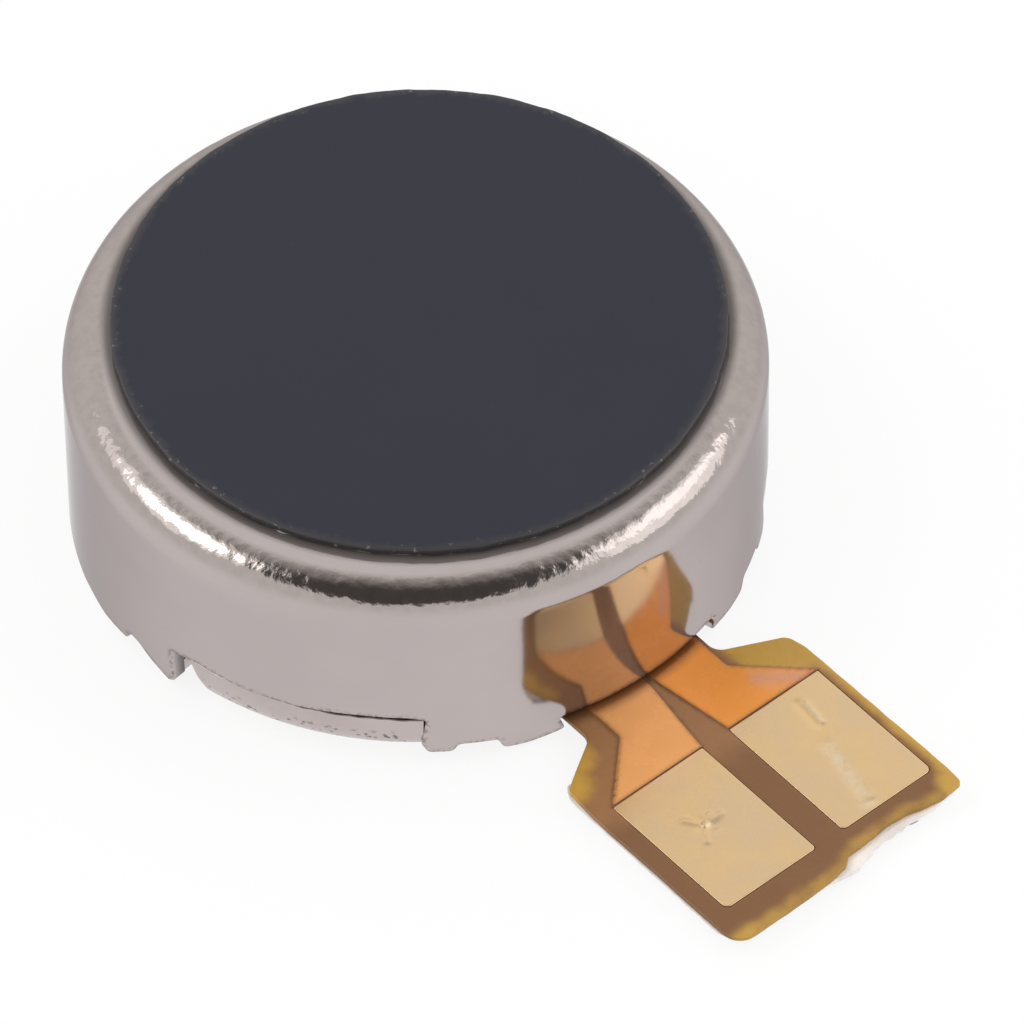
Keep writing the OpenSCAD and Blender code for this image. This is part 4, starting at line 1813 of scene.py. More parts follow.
    def _dent(self, plan: np.ndarray) -> np.ndarray:
        """Long dent and shallow crease of the other pad, as height over it.

        Args:
            plan: Plan points.

        Returns:
            One height for each point.
        """
        height = 0.009 * self._stroke(plan, (6.80, 1.39), (7.20, 1.335), 0.050)
        height -= 0.008 * self._stroke(plan, (6.72, 1.29), (7.18, 1.24), 0.070)
        height -= 0.004 * self._stroke(plan, (7.55, 1.12), (8.70, 0.84), 0.10)
        height -= 0.006 * self._stroke(plan, (8.70, 0.76), (8.74, 0.92), 0.05)
        return height + 0.0007 * Relief(6, 0.5, 2).at(plan)

    def _scuff_and_glint(self, plan: np.ndarray) -> np.ndarray:
        """Share of scuffing on the pads, with a painted highlight along the far pad's crease.

        Args:
            plan: Plan points.

        Returns:
            One share for each point.
        """
        pale = 0.8 * self._stroke(plan, (7.60, 1.10), (8.70, 0.86), 0.11)
        # Painted highlight along the far pad's crease, carried in the scuff mark.
        glint = 1.3 * self._stroke(plan, (6.82, 1.385), (7.19, 1.335), 0.028)
        star = 0.7 * self._stroke(plan, (7.56, -1.22), (7.56, -0.98), 0.06)
        return np.clip(pale + glint + star, 0, 1)

    def _backing(self, lip: float, seed: int) -> np.ndarray:
        """Outline of what backs the tail; its end is torn a little.

        Args:
            lip: How far it stands out past the adhesive.
            seed: Seed of its tear.

        Returns:
            The outline, anticlockwise.
        """
        low, high = box("tail_adhesive")
        near, far, end = low[1] - lip, high[1], high[0] + lip
        points = rounded([
            (low[0], near + 0.16, 0.10), (low[0] + 0.22, near + 0.01, 0.3), (end - 0.36, near, 0.3),
            (end - 0.10, near + 0.30, 0.30), (end - 0.10, -0.60, 0.3), (end - 0.03, -0.20, 0.1),
            (end, 0.04, 0.08), (end - 0.14, 0.40, 0.12), (end - 0.17, 0.90, 0.2), (end - 0.13, 1.30, 0.2),
            (end - 0.16, 1.76, 0.2), (end - 0.22, far, 0.20), (low[0], far - 0.02, 0.12)], 0.035)
        wander = Relief(seed, 0.16, 3).at(points) * 0.014
        torn = smoothstep(9.1, 9.2, points[:, 0]) * smoothstep(-0.5, -0.1, points[:, 1])
        wander = wander * (1 + 1.5 * torn)
        return np.column_stack([np.minimum(points[:, 0] + wander, end + 0.004), points[:, 1] + wander * 0.5])

    @staticmethod
    def _tucked(plan: np.ndarray, level: np.ndarray) -> np.ndarray:
        """Leans the near side and the end of what backs the tail inwards going down.

        Args:
            plan: Plan points.
            level: Level of each point.

        Returns:
            The points in space.
        """
        depth = np.clip(box("flex_base_film")[0][2] - level, 0, 1)
        x = plan[:, 0] - depth * 0.35 * smoothstep(9.0, 9.25, plan[:, 0])
        y = plan[:, 1] + depth * 0.6 * smoothstep(1.9, 2.15, -plan[:, 1])
        return np.column_stack([x, y, level])

    def _stiffener(self) -> bpy.types.Object:
        """The stiff film behind the tail; its edge shows as a pale line.

        Returns:
            The piece.
        """
        lip = box("tail_stiffener")[1][0] - box("tail_adhesive")[1][0]
        finish = Plastic("stiffener_film", srgb(236, 228, 220), 0.14, 0.05, 0.0035, 0.10, coat=0.8).build()
        return self.slab("stiffener", self._backing(lip, 21), finish, "stiffener_film", "tail_stiffener",
                         0.03, 0.12, place=self._tucked)

    def _adhesive(self) -> bpy.types.Object:
        """The adhesive under the stiffener.

        Returns:
            The piece.
        """
        finish = Plastic("clear_adhesive", srgb(176, 168, 168), 0.12, 0.06, 0.002, 0.06, coat=0.5).build()
        return self.slab("adhesive", self._backing(0.0, 22), finish, "tail_glue", "tail_adhesive", 0.02, 0.12,
                         place=self._tucked)


@dataclass
class BlackPad(Assembly):
    """The black pad on the closed end and the adhesive under it.

    Attributes:
        edge: Radius of the pad's top edge.
        ragged: Wander of its cut edge.
    """

    edge: float = 0.022
    ragged: float = 0.016

    def build(self) -> list[bpy.types.Object]:
        """Builds the pad and its adhesive.

        Returns:
            The pieces.
        """
        low, high = box("top_pad")
        middle, radius = (low + high)[:2] / 2, float(high[0] - low[0]) / 2
        points = circle(middle, radius - self.ragged * 0.8, 0.03)
        wander = Relief(7, 0.45, 4).at(points) * self.ragged
        points = points + (points - middle) / radius * wander[:, None]
        data = Slab(Loop(points), low[2], high[2], self.edge, 0.10).build()
        rim = 1 - smoothstep(0.0, 0.08, nearest(data.plan(), points))
        rim[data.place()[:, 2] < high[2] - self.edge] = 1
        skin = data.object("black_pad", [BlackSkin().build()], {"rim": rim})
        low, high = box("top_pad_adhesive")
        radius = float(high[0] - low[0]) / 2
        points = circle(middle, radius, 0.04)
        wander = Relief(8, 0.3, 4).at(points) * 0.05
        points = points + (points - middle) / radius * wander[:, None]
        pale = Plastic("pad_adhesive", srgb(176, 168, 156), 0.3, 0.05, 0.001).build()
        return [self.own(skin, "black_film", "top_pad"),
                self.slab("black_pad_adhesive", points, pale, "clear_glue", "top_pad_adhesive", 0.008, 0.4)]


@dataclass
class Spindle(Assembly):
    """The fixed shaft and its two thrust washers.

    Attributes:
        shaft_r: Radius of the shaft.
        chamfer: Chamfer of the shaft's ends.
        washer_bore: Radius of the washers' bores.
        washer_r: Radius of the washers.
    """

    shaft_r: float = 0.40
    chamfer: float = 0.04
    washer_bore: float = 0.42
    washer_r: float = 0.70

    def build(self) -> list[bpy.types.Object]:
        """Builds the shaft and the washers.

        Returns:
            The pieces.
        """
        low, high = box("shaft")
        bottom, top, inner = low[2], high[2], self.shaft_r - self.chamfer
        section = np.array([(0, bottom), (inner, bottom), (self.shaft_r, bottom + self.chamfer),
                            (self.shaft_r, 1.2), (self.shaft_r, 2.4), (self.shaft_r, top - self.chamfer),
                            (inner, top), (0, top)])
        steel = Metal("ground_steel", srgb(205, 203, 200), 0.14, Grain.DRAWN, 0.02, 0.0002, 0.03).build()
        film = Plastic("washer_film", srgb(58, 56, 60), 0.30, 0.04, 0.0004, coat=0.2).build()
        pieces = [self.turned("fixed_shaft", section, steel, "shaft_steel", "shaft", 64, closed=False)]
        for name in ("lower_washer", "upper_washer"):
            low, high = box(name)
            ring = turned_ring(self.washer_r, self.washer_bore, low[2], high[2], 0.015)
            pieces.append(self.turned(f"{name}_film", ring, film, "washer_film", name, 96))
        return pieces


@dataclass
class MagnetStack(Assembly):
    """The ring magnet, the adhesive under it and the C-shaped cogging plate.

    Attributes:
        outer_r: Radius of the magnet.
        inner_r: Radius of the magnet's bore.
        glue_inset: How far the adhesive stays inside the magnet's edges.
        plate_outer: Outer radius of the cogging plate.
        plate_inner: Inner radius of the cogging plate.
        gap: Half of the width that the plate leaves for the tail's neck.
        notch: Distance from the axis and radius of the circles that notch the plate's rim.
        notch_angles: Where the notches are.
    """

    outer_r: float = 4.20
    inner_r: float = 1.85
    glue_inset: float = 0.05
    plate_outer: float = 4.05
    plate_inner: float = 2.35
    gap: float = 1.49
    notch: tuple[float, float] = (4.35, 1.065)
    notch_angles: tuple[int, ...] = (90, 180, 270)

    def build(self) -> list[bpy.types.Object]:
        """Builds the three pieces.

        Returns:
            The pieces.
        """
        low, high = box("ring_magnet")
        ring = divided(turned_ring(self.outer_r, self.inner_r, low[2], high[2], 0.08), 0.3)
        plate = Metal("magnet_nickel", srgb(176, 172, 168), 0.20, Grain.SATIN, 0.06, 0.0008, 0.05).build()
        pieces = [self.turned("magnet_ring", ring, plate, "magnet_nickel", "ring_magnet")]
        low, high = box("magnet_adhesive")
        outer, inner = self.outer_r - self.glue_inset, self.inner_r + self.glue_inset
        ring = turned_ring(outer, inner, low[2], high[2], 0.01)
        glue = Plastic("cured_glue", srgb(214, 208, 190), 0.22, 0.1, 0.002, 0.05, coat=0.4).build()
        pieces.append(self.turned("magnet_glue", ring, glue, "clear_glue", "magnet_adhesive"))
        steel = Metal("cogging_steel", srgb(168, 164, 162), 0.28, Grain.DRAWN, 0.05, 0.0006).build()
        pieces.append(self.slab("parking_plate", self._plate_outline(), steel, "cogging_steel",
                                "cogging_plate", 0.015, 0.16))
        return pieces

    def _plate_outline(self) -> np.ndarray:
        """Outline of the cogging plate: a C with three notches in its rim.

        Returns:
            The outline, anticlockwise.
        """
        out, bite = self.notch
        reach = (self.plate_outer ** 2 + out ** 2 - bite ** 2) / (2 * self.plate_outer * out)
        half = math.degrees(math.acos(reach))
        begin, inner = (math.degrees(math.asin(self.gap / r)) for r in (self.plate_outer, self.plate_inner))
        runs, angle = [], begin
        for notch in self.notch_angles:
            first, last = (polar(self.plate_outer, notch + side * half) for side in (-1, 1))
            runs.append(arc((0, 0), self.plate_outer, angle, notch - half, 0.1))
            runs.append(arc_between(polar(out, notch), first, last, 0.1, clockwise=True))
            angle = notch + half
        runs.append(arc((0, 0), self.plate_outer, angle, 360 - begin, 0.1))
        runs.append(arc((0, 0), self.plate_inner, 360 - inner, inner, 0.1))
        return divided(chained(*runs), 0.12)


@dataclass
class Brushes(Assembly):
    """The two sprung brushes and the solder that holds their feet.

    Attributes:
        side_y: Distance of each brush from the middle plane.
        width: Width of the strip.
        thickness: Thickness of the strip.
        slit: Width of the slit between the two tines.
        slit_share: Share of the length that the slit takes.
        path: Corners of the strip's middle line from tip to foot, as x, z and bend radius.
        joint_x: Middle of the foot, where the solder sits.
        joint_r: Radius of the solder dome.
    """

    side_y: float = 1.0
    width: float = 0.40
    thickness: float = 0.06
    slit: float = 0.10
    slit_share: float = 0.66
    path: tuple[tuple[float, float, float], ...] = (
        (-0.845, 1.185, 0), (-0.803, 1.258, 0.06), (-0.523, 1.258, 0.22), (0.624, 0.35, 0.22),
        (1.104, 0.35, 0))
    joint_x: float = 0.864
    joint_r: float = 0.18

    def build(self) -> list[bpy.types.Object]:
        """Builds both brushes and their joints.

        Returns:
            The pieces.
        """
        alloy = Metal("brush_alloy", srgb(216, 170, 98), 0.16, Grain.DRAWN, 0.02, 0.0002, 0.04).build()
        tin = Metal("solder", srgb(190, 190, 194), 0.18, Grain.POLISHED, 0.08, 0.0015, 0.05).build()
        pieces, joints = [], MeshData()
        low, high = box("brush_solder")
        for side, word in ((1, "positive"), (-1, "negative")):
            strip = self._strip(side).object(f"brush_spring_{word}", [alloy])
            pieces.append(self.own(strip, "brush_alloy", f"brush_{word}"))
            add_dome(joints, (self.joint_x, side * self.side_y), self.joint_r, low[2], high[2], 31 + side)
        pieces.append(self.own(joints.object("brush_joints", [tin]), "solder", "brush_solder"))
        return pieces

    def _strip(self, side: int) -> MeshData:
        """One brush, cut flat with its slit and then bent along its path.

        Args:
            side: 1 for the +Y side, -1 for the other.

        Returns:
            The gathered mesh.
        """
        line = rounded(self.path, 0.02, closed=False)
        lengths = np.concatenate([[0], np.cumsum(np.linalg.norm(np.diff(line, axis=0), axis=1))])
        ahead = np.gradient(line, axis=0)
        ahead /= np.linalg.norm(ahead, axis=1)[:, None]
        whole, half, cut = lengths[-1], self.width / 2, self.slit / 2
        root = whole * self.slit_share
        outline = rounded([
            (0, -half, 0.06), (whole, -half, 0.03), (whole, half, 0.03), (0, half, 0.06), (0, cut, 0.04),
            (root, cut, 0.045), (root, -cut, 0.045), (0, -cut, 0.04)], 0.04)

        def bend(plan: np.ndarray, level: np.ndarray) -> np.ndarray:
            """Bends the flat strip along its path.

            Args:
                plan: Points of the flat strip.
                level: Height of each over its middle.

            Returns:
                The points in space.
            """
            along = np.clip(plan[:, 0], 0, whole)
            x, z, dx, dz = (np.interp(along, lengths, run)
                            for run in (line[:, 0], line[:, 1], ahead[:, 0], ahead[:, 1]))
            return np.column_stack([x - dz * level, plan[:, 1] + side * self.side_y, z + dx * level])

        return Slab(Loop(outline), -self.thickness / 2, self.thickness / 2, 0.01, 0.05, place=bend).build()


def add_dome(data: MeshData, centre: Sequence[float], radius: float, low: float, high: float,
             seed: int) -> None:
    """Adds a slightly uneven dome of solder.

    Args:
        data: What the dome is added to.
        centre: Place of its middle.
        radius: Radius of its foot.
        low: Level of its foot.
        high: Level of its top.
        seed: Seed of its unevenness.
    """
    turn = np.radians(np.linspace(0, 90, 10))
    dome = np.column_stack([radius * np.cos(turn), low + (high - low) * np.sin(turn)])
    section = np.concatenate([[(0, low)], dome])

    def uneven(points: np.ndarray) -> np.ndarray:
        """Wander of the dome's surface, none at its foot."""
        return -0.008 * smoothstep(low, high, points[:, 2]) * (1 + Relief(seed, 0.12, 2).at(points))

    Turned(section, 40, centre, swell=uneven).build(data)


@dataclass
class Rotor(Assembly):
    """The eccentric rotor: bearing, resin, counterweight, board, commutator and coils.

    Attributes:
        outer_r: Radius of the rotor.
        hub_r: Radius of the resin's hub.
        bearing_r: Outside radius of the bearing.
        bearing_bore: Radius of the bearing's bore.
        fan: Half of the angle that the heavy side covers.
        weight_half: Half of the angle of the counterweight.
        weight_inner: Inner radius of the counterweight.
        weight_clear: Resin left between a coil and the counterweight.
        coil_out: Distance of the coils from the axis.
        coil_angle: Angle from the heavy side's middle to each coil.
        coil_radii: Inner and outer radius of a coil.
        pocket_floor: Level of the coils' pockets.
        board_hub: Radius of the board's round part.
        board_inset: How far the board stays inside the rotor's edge.
        track: Inner and outer radius of the commutator.
        segments: Number of commutator segments.
        segment_gap: Gap between two segments.
        joint_angles: Angles of the solder joints of the coil leads.
        joint: Distance from the axis and radius of those joints.
        wire: Diameter of the coils' wire.
    """

    outer_r: float = 4.45
    hub_r: float = 1.30
    bearing_r: float = 0.75
    bearing_bore: float = 0.415
    fan: float = 105
    weight_half: float = 64
    weight_inner: float = 1.95
    weight_clear: float = 0.08
    coil_out: float = 2.875
    coil_angle: float = 68
    coil_radii: tuple[float, float] = (0.50, 1.455)
    pocket_floor: float = 1.54
    board_hub: float = 1.75
    board_inset: float = 0.05
    track: tuple[float, float] = (0.90, 1.50)
    segments: int = 6
    segment_gap: float = 0.12
    joint_angles: tuple[int, ...] = (18, 54)
    joint: tuple[float, float] = (1.525, 0.16)
    wire: float = 0.075

    body = Body.ROTOR

    def build(self) -> list[bpy.types.Object]:
        """Builds the rotor's pieces.

        Returns:
            The pieces.
        """
        self.coil_centres = [polar(self.coil_out, 180 - side * self.coil_angle) for side in (1, -1)]
        return [self._bearing(), self._resin(), self._weight(), self._board(), self._commutator(),
                *self._coils(), self._joints()]

    def _bearing(self) -> bpy.types.Object:
        """The sintered bearing.

        Returns:
            The piece.
        """
        low, high = box("bearing")
        ring = divided(turned_ring(self.bearing_r, self.bearing_bore, low[2], high[2], 0.05), 0.3)
        bronze = Metal("sintered_bronze", srgb(176, 132, 88), 0.34, Grain.SINTERED, 0.03, 0.003, 0.10).build()
        return self.turned("sintered_bearing", ring, bronze, "sintered_bronze", "bearing", 120)

    def _fan_outline(self, radius: float, hub: float) -> np.ndarray:
        """Outline of a fan on the heavy side with a round hub.

        Args:
            radius: Radius of the fan.
            hub: Radius of its hub.

        Returns:
            The outline, anticlockwise.
        """
        start, end = 180 - self.fan, 180 + self.fan
        points = chained(arc((0, 0), hub, end - 360, start, 0.12), arc((0, 0), radius, start, end, 0.12))
        return divided(points, 0.14)

    def _weight_corners(self) -> list[np.ndarray]:
        """Where the counterweight meets the circle round the first coil: outer, then inner.

        Returns:
            The two points.
        """
        centre, clear = self.coil_centres[0], self.coil_radii[1] + self.weight_clear
        ray = polar(1.0, 180 - self.weight_half)
        middle = float(ray @ centre)
        outer = ray * (middle + math.sqrt(middle ** 2 - self.coil_out ** 2 + clear ** 2))
        inner = self.weight_inner
        reach = (inner ** 2 + self.coil_out ** 2 - clear ** 2) / (2 * inner * self.coil_out)
        return [outer, polar(inner, 180 - self.coil_angle + math.degrees(math.acos(reach)))]

    def _weight_side(self) -> np.ndarray:
        """Inner side of the counterweight, from its +Y end round both coils to its -Y end.

        Returns:
            The points, one row each.
        """
        outer, inner = self._weight_corners()
        down = np.array([1, -1])
        return chained(
            polar(self.outer_r, 180 - self.weight_half)[None],
            arc_between(self.coil_centres[0], outer, inner, 0.1),
            arc_between(np.zeros(2), inner, inner * down, 0.1),
            arc_between(self.coil_centres[1], inner * down, outer * down, 0.1),
            polar(self.outer_r, 180 + self.weight_half)[None])

    def _resin(self) -> bpy.types.Object:
        """The resin moulding, with a pocket and a post for each coil.

        Returns:
            The piece.
        """
        start, end = 180 - self.fan, 180 + self.fan
        outline = divided(chained(
            arc((0, 0), self.hub_r, end - 360, start, 0.1),
            arc((0, 0), self.outer_r, start, 180 - self.weight_half, 0.1), self._weight_side(),
            arc((0, 0), self.outer_r, 180 + self.weight_half, end, 0.1)), 0.12)
        core, wall = self.coil_radii
        pockets = [Pocket([hole(circle(c, wall, 0.08)), Loop(circle(c, core, 0.08))], self.pocket_floor)
                   for c in self.coil_centres]
        resin = Plastic("rotor_resin", srgb(232, 226, 208), 0.42, 0.05, 0.0012, 0.05).build()
        return self.slab("rotor_moulding", outline, resin, "rotor_resin", "rotor_resin", 0.03, 0.14,
                         holes=[self._bore()], pockets=pockets)

    def _bore(self) -> Loop:
        """Opening for the bearing."""
        return hole(circle((0, 0), self.bearing_r, 0.08))

    def _weight(self) -> bpy.types.Object:
        """The tungsten counterweight.

        Returns:
            The piece.
        """
        outline = chained(arc((0, 0), self.outer_r, 180 - self.weight_half, 180 + self.weight_half, 0.1),
                          self._weight_side()[::-1])
        alloy = Metal("tungsten", srgb(136, 134, 136), 0.36, Grain.SINTERED, 0.03, 0.002, 0.08).build()
        return self.slab("eccentric_weight", divided(outline, 0.12), alloy, "tungsten", "counterweight",
                         0.04, 0.16)

    def _board(self) -> bpy.types.Object:
        """The commutator board.

        Returns:
            The piece.
        """
        outline = self._fan_outline(self.outer_r - self.board_inset, self.board_hub)
        laminate = Plastic("board_laminate", srgb(30, 92, 62), 0.30, 0.04, 0.0006, 0.12, coat=0.5).build()
        return self.slab("rotor_board", outline, laminate, "board_laminate", "commutator_board", 0.012, 0.16,
                         holes=[self._bore()])

    def _commutator(self) -> bpy.types.Object:
        """The commutator: one segment, repeated round the axis.

        Returns:
            The piece.
        """
        low, high = box("commutator_segments")
        half = 180 / self.segments
        inner, outer = self.track
        inner_half, outer_half = (
            half - math.degrees(math.asin(self.segment_gap / 2 / radius)) for radius in self.track)
        outline = chained(arc((0, 0), outer, -outer_half, outer_half, 0.06),
                          arc((0, 0), inner, inner_half, -inner_half, 0.06))
        seed = Slab(Loop(divided(outline, 0.08)), low[2], high[2], 0.008, 0.1).build().object("segment", [])
        gold = Metal("commutator_gold", srgb(226, 190, 120), 0.14, Grain.POLISHED, 0.04, 0.0003, 0.04).build()
        mesh = ring_tree(gold).bake({"Count": self.segments}, seed.data.copy())
        bpy.data.objects.remove(seed)
        return self.own(finished("commutator_ring", mesh, []), "gold_pad", "commutator_segments")

    def _coils(self) -> list[bpy.types.Object]:
        """Both windings, with their leads.

        Returns:
            Both pieces.
        """
        copper = Metal("coil_wire", srgb(206, 118, 66), 0.22, Grain.POLISHED, 0.05, 0.0003, 0.08).build()
        tree = winding_tree(copper)
        pieces = []
        for index, (side, node) in enumerate(((1, "coil_a"), (-1, "coil_b"))):
            low, high = box(node)
            centre, (inner, outer) = self.coil_centres[index], self.coil_radii
            inset = self.wire * 0.6
            core = turned_ring(outer - inset, inner + inset, low[2] + inset, high[2] - inset, 0.02)
            seed = Turned(core, 48, centre, closed=True).build().object("core", [])
            values = {"Centre": (centre[0] * MM, centre[1] * MM, 0.0), "Inner Radius": inner * MM,
                      "Outer Radius": outer * MM, "Bottom": float(low[2]) * MM, "Top": float(high[2]) * MM,
                      "Wire": self.wire * MM}
            for lead, (start, middle, end) in enumerate(self._leads(side)):
                values |= {f"Start {lead}": start, f"Middle {lead}": middle, f"End {lead}": end}
            mesh = tree.bake(values, seed.data.copy())
            bpy.data.objects.remove(seed)
            pieces.append(self.own(finished(f"winding_{node[-1]}", mesh, []), "coil_wire", node))
        return pieces

    def _leads(self, side: int) -> list[list[tuple[float, float, float]]]:
        """Start, middle and end of each lead of one coil, along the board to its joint.

        Args:
            side: 1 for the +Y side, -1 for the other.

        Returns:
            Three points for each lead, in metres.
        """
        level = (float(box("commutator_board")[1][2]) + self.wire / 2) * MM
        start, bow = 180 - self.fan + 6, (1.70, 2.02)
        leads = []
        for angle, out in zip(self.joint_angles[::-1], bow):
            points = (polar(1.62 + 0.1 * (out - 1.7), start), polar(out, (start + angle) / 2),
                      polar(self.joint[0], angle))
            leads.append([(x * MM, side * y * MM, level) for x, y in points])
        return leads

    def _joints(self) -> bpy.types.Object:
        """The solder joints of the coil leads.

        Returns:
            The piece.
        """
        low, high = box("coil_solder")
        tin = Metal("lead_solder", srgb(190, 190, 194), 0.18, Grain.POLISHED, 0.08, 0.0015, 0.05).build()
        data = MeshData()
        out, radius = self.joint
        for index, angle in enumerate(a * side for a in self.joint_angles for side in (1, -1)):
            add_dome(data, polar(out, angle), radius, low[2], high[2], 41 + index)
        return self.own(data.object("lead_joints", [tin]), "solder", "coil_solder")


def ring_tree(finish: bpy.types.Material) -> GeometryTree:
    """Tree that repeats its geometry Count times round the axis.

    Args:
        finish: Material of the result.

    Returns:
        The tree.
    """
    tree = GeometryTree("repeat_round_axis")
    count = tree.input("Count", "NodeSocketInt")
    points = tree.add("GeometryNodePoints", {"Count": count}).outputs[0]
    index = tree.add("GeometryNodeInputIndex").outputs[0]
    angle = tree.times(index, tree.maths("DIVIDE", 2 * math.pi, count))
    turn = tree.add("FunctionNodeEulerToRotation", {0: tree.vector(z=angle)}).outputs[0]
    copies = tree.add("GeometryNodeInstanceOnPoints",
                      {"Points": points, "Instance": tree.inlet.outputs[0], "Rotation": turn})
    tree.close(copies.outputs[0], finish)
    return tree


def winding_tree(finish: bpy.types.Material) -> GeometryTree:
    """Tree that lays wire round a coil's section and runs two leads from it.

    Args:
        finish: Material of the result.

    Returns:
        The tree.
    """
    tree = GeometryTree("coil_winding")
    centre = tree.input("Centre", "NodeSocketVector")
    inner, outer, bottom, top, wire = (
        tree.input(name, "NodeSocketFloat")
        for name in ("Inner Radius", "Outer Radius", "Bottom", "Top", "Wire"))
    half = tree.times(wire, 0.5)
    left, right = tree.maths("ADD", inner, half), tree.maths("SUBTRACT", outer, half)
    floor, roof = tree.maths("ADD", bottom, half), tree.maths("SUBTRACT", top, half)
    across = tree.maths("FLOOR", tree.maths("DIVIDE", tree.maths("SUBTRACT", outer, inner), wire))
    upward = tree.maths("FLOOR", tree.maths("DIVIDE", tree.maths("SUBTRACT", roof, floor), wire))
    near, far = tree.maths("ADD", floor, wire), tree.maths("SUBTRACT", roof, wire)
    stacks = [(left, floor, right, floor, across), (left, roof, right, roof, across),
              (left, near, left, far, upward), (right, near, right, far, upward)]
    places = tree.add("GeometryNodeJoinGeometry")
    for x0, z0, x1, z1, count in stacks:
        line = tree.add("GeometryNodeMeshLine", {"Count": count, "Start Location": tree.vector(x=x0, z=z0),
                                                 "Offset": tree.vector(x=x1, z=z1)}, mode="END_POINTS")
        tree.link(line.outputs[0], places.inputs[0])
    spot = tree.add("ShaderNodeSeparateXYZ", {0: tree.add("GeometryNodeInputPosition").outputs[0]})
    ring = tree.add("GeometryNodeCurvePrimitiveCircle", {"Resolution": 60, "Radius": 1.0})
    loops = tree.add("GeometryNodeInstanceOnPoints", {
        "Points": places.outputs[0], "Instance": ring.outputs[0],
        "Scale": tree.vector(spot.outputs[0], spot.outputs[0], 1.0)})
    level = tree.add("GeometryNodeSetPosition", {
        "Geometry": loops.outputs[0], "Position": tree.vector(z=spot.outputs[2])})
    curves = tree.add("GeometryNodeRealizeInstances", {"Geometry": level.outputs[0]})
    even = tree.add("GeometryNodeSetCurveRadius", {"Curve": curves.outputs[0], "Radius": 1.0})
    profile = tree.add("GeometryNodeCurvePrimitiveCircle", {"Resolution": 6, "Radius": half})
    wound = tree.add("GeometryNodeCurveToMesh", {
        "Curve": even.outputs[0], "Profile Curve": profile.outputs[0]})
    moved = tree.add("GeometryNodeTransform", {"Geometry": wound.outputs[0], "Translation": centre})
    whole = tree.add("GeometryNodeJoinGeometry")
    tree.link(tree.inlet.outputs[0], whole.inputs[0])
    tree.link(moved.outputs[0], whole.inputs[0])
    for lead in (0, 1):
        ends = {key: tree.input(f"{key} {lead}", "NodeSocketVector") for key in ("Start", "Middle", "End")}
        run = tree.add("GeometryNodeCurveQuadraticBezier", {"Resolution": 24, **ends})
        body = tree.add("GeometryNodeCurveToMesh", {
            "Curve": run.outputs[0], "Profile Curve": profile.outputs[0], "Fill Caps": True})
        tree.link(body.outputs[0], whole.inputs[0])
    tree.close(whole.outputs[0], finish)
    return tree


# ---- Studio ----


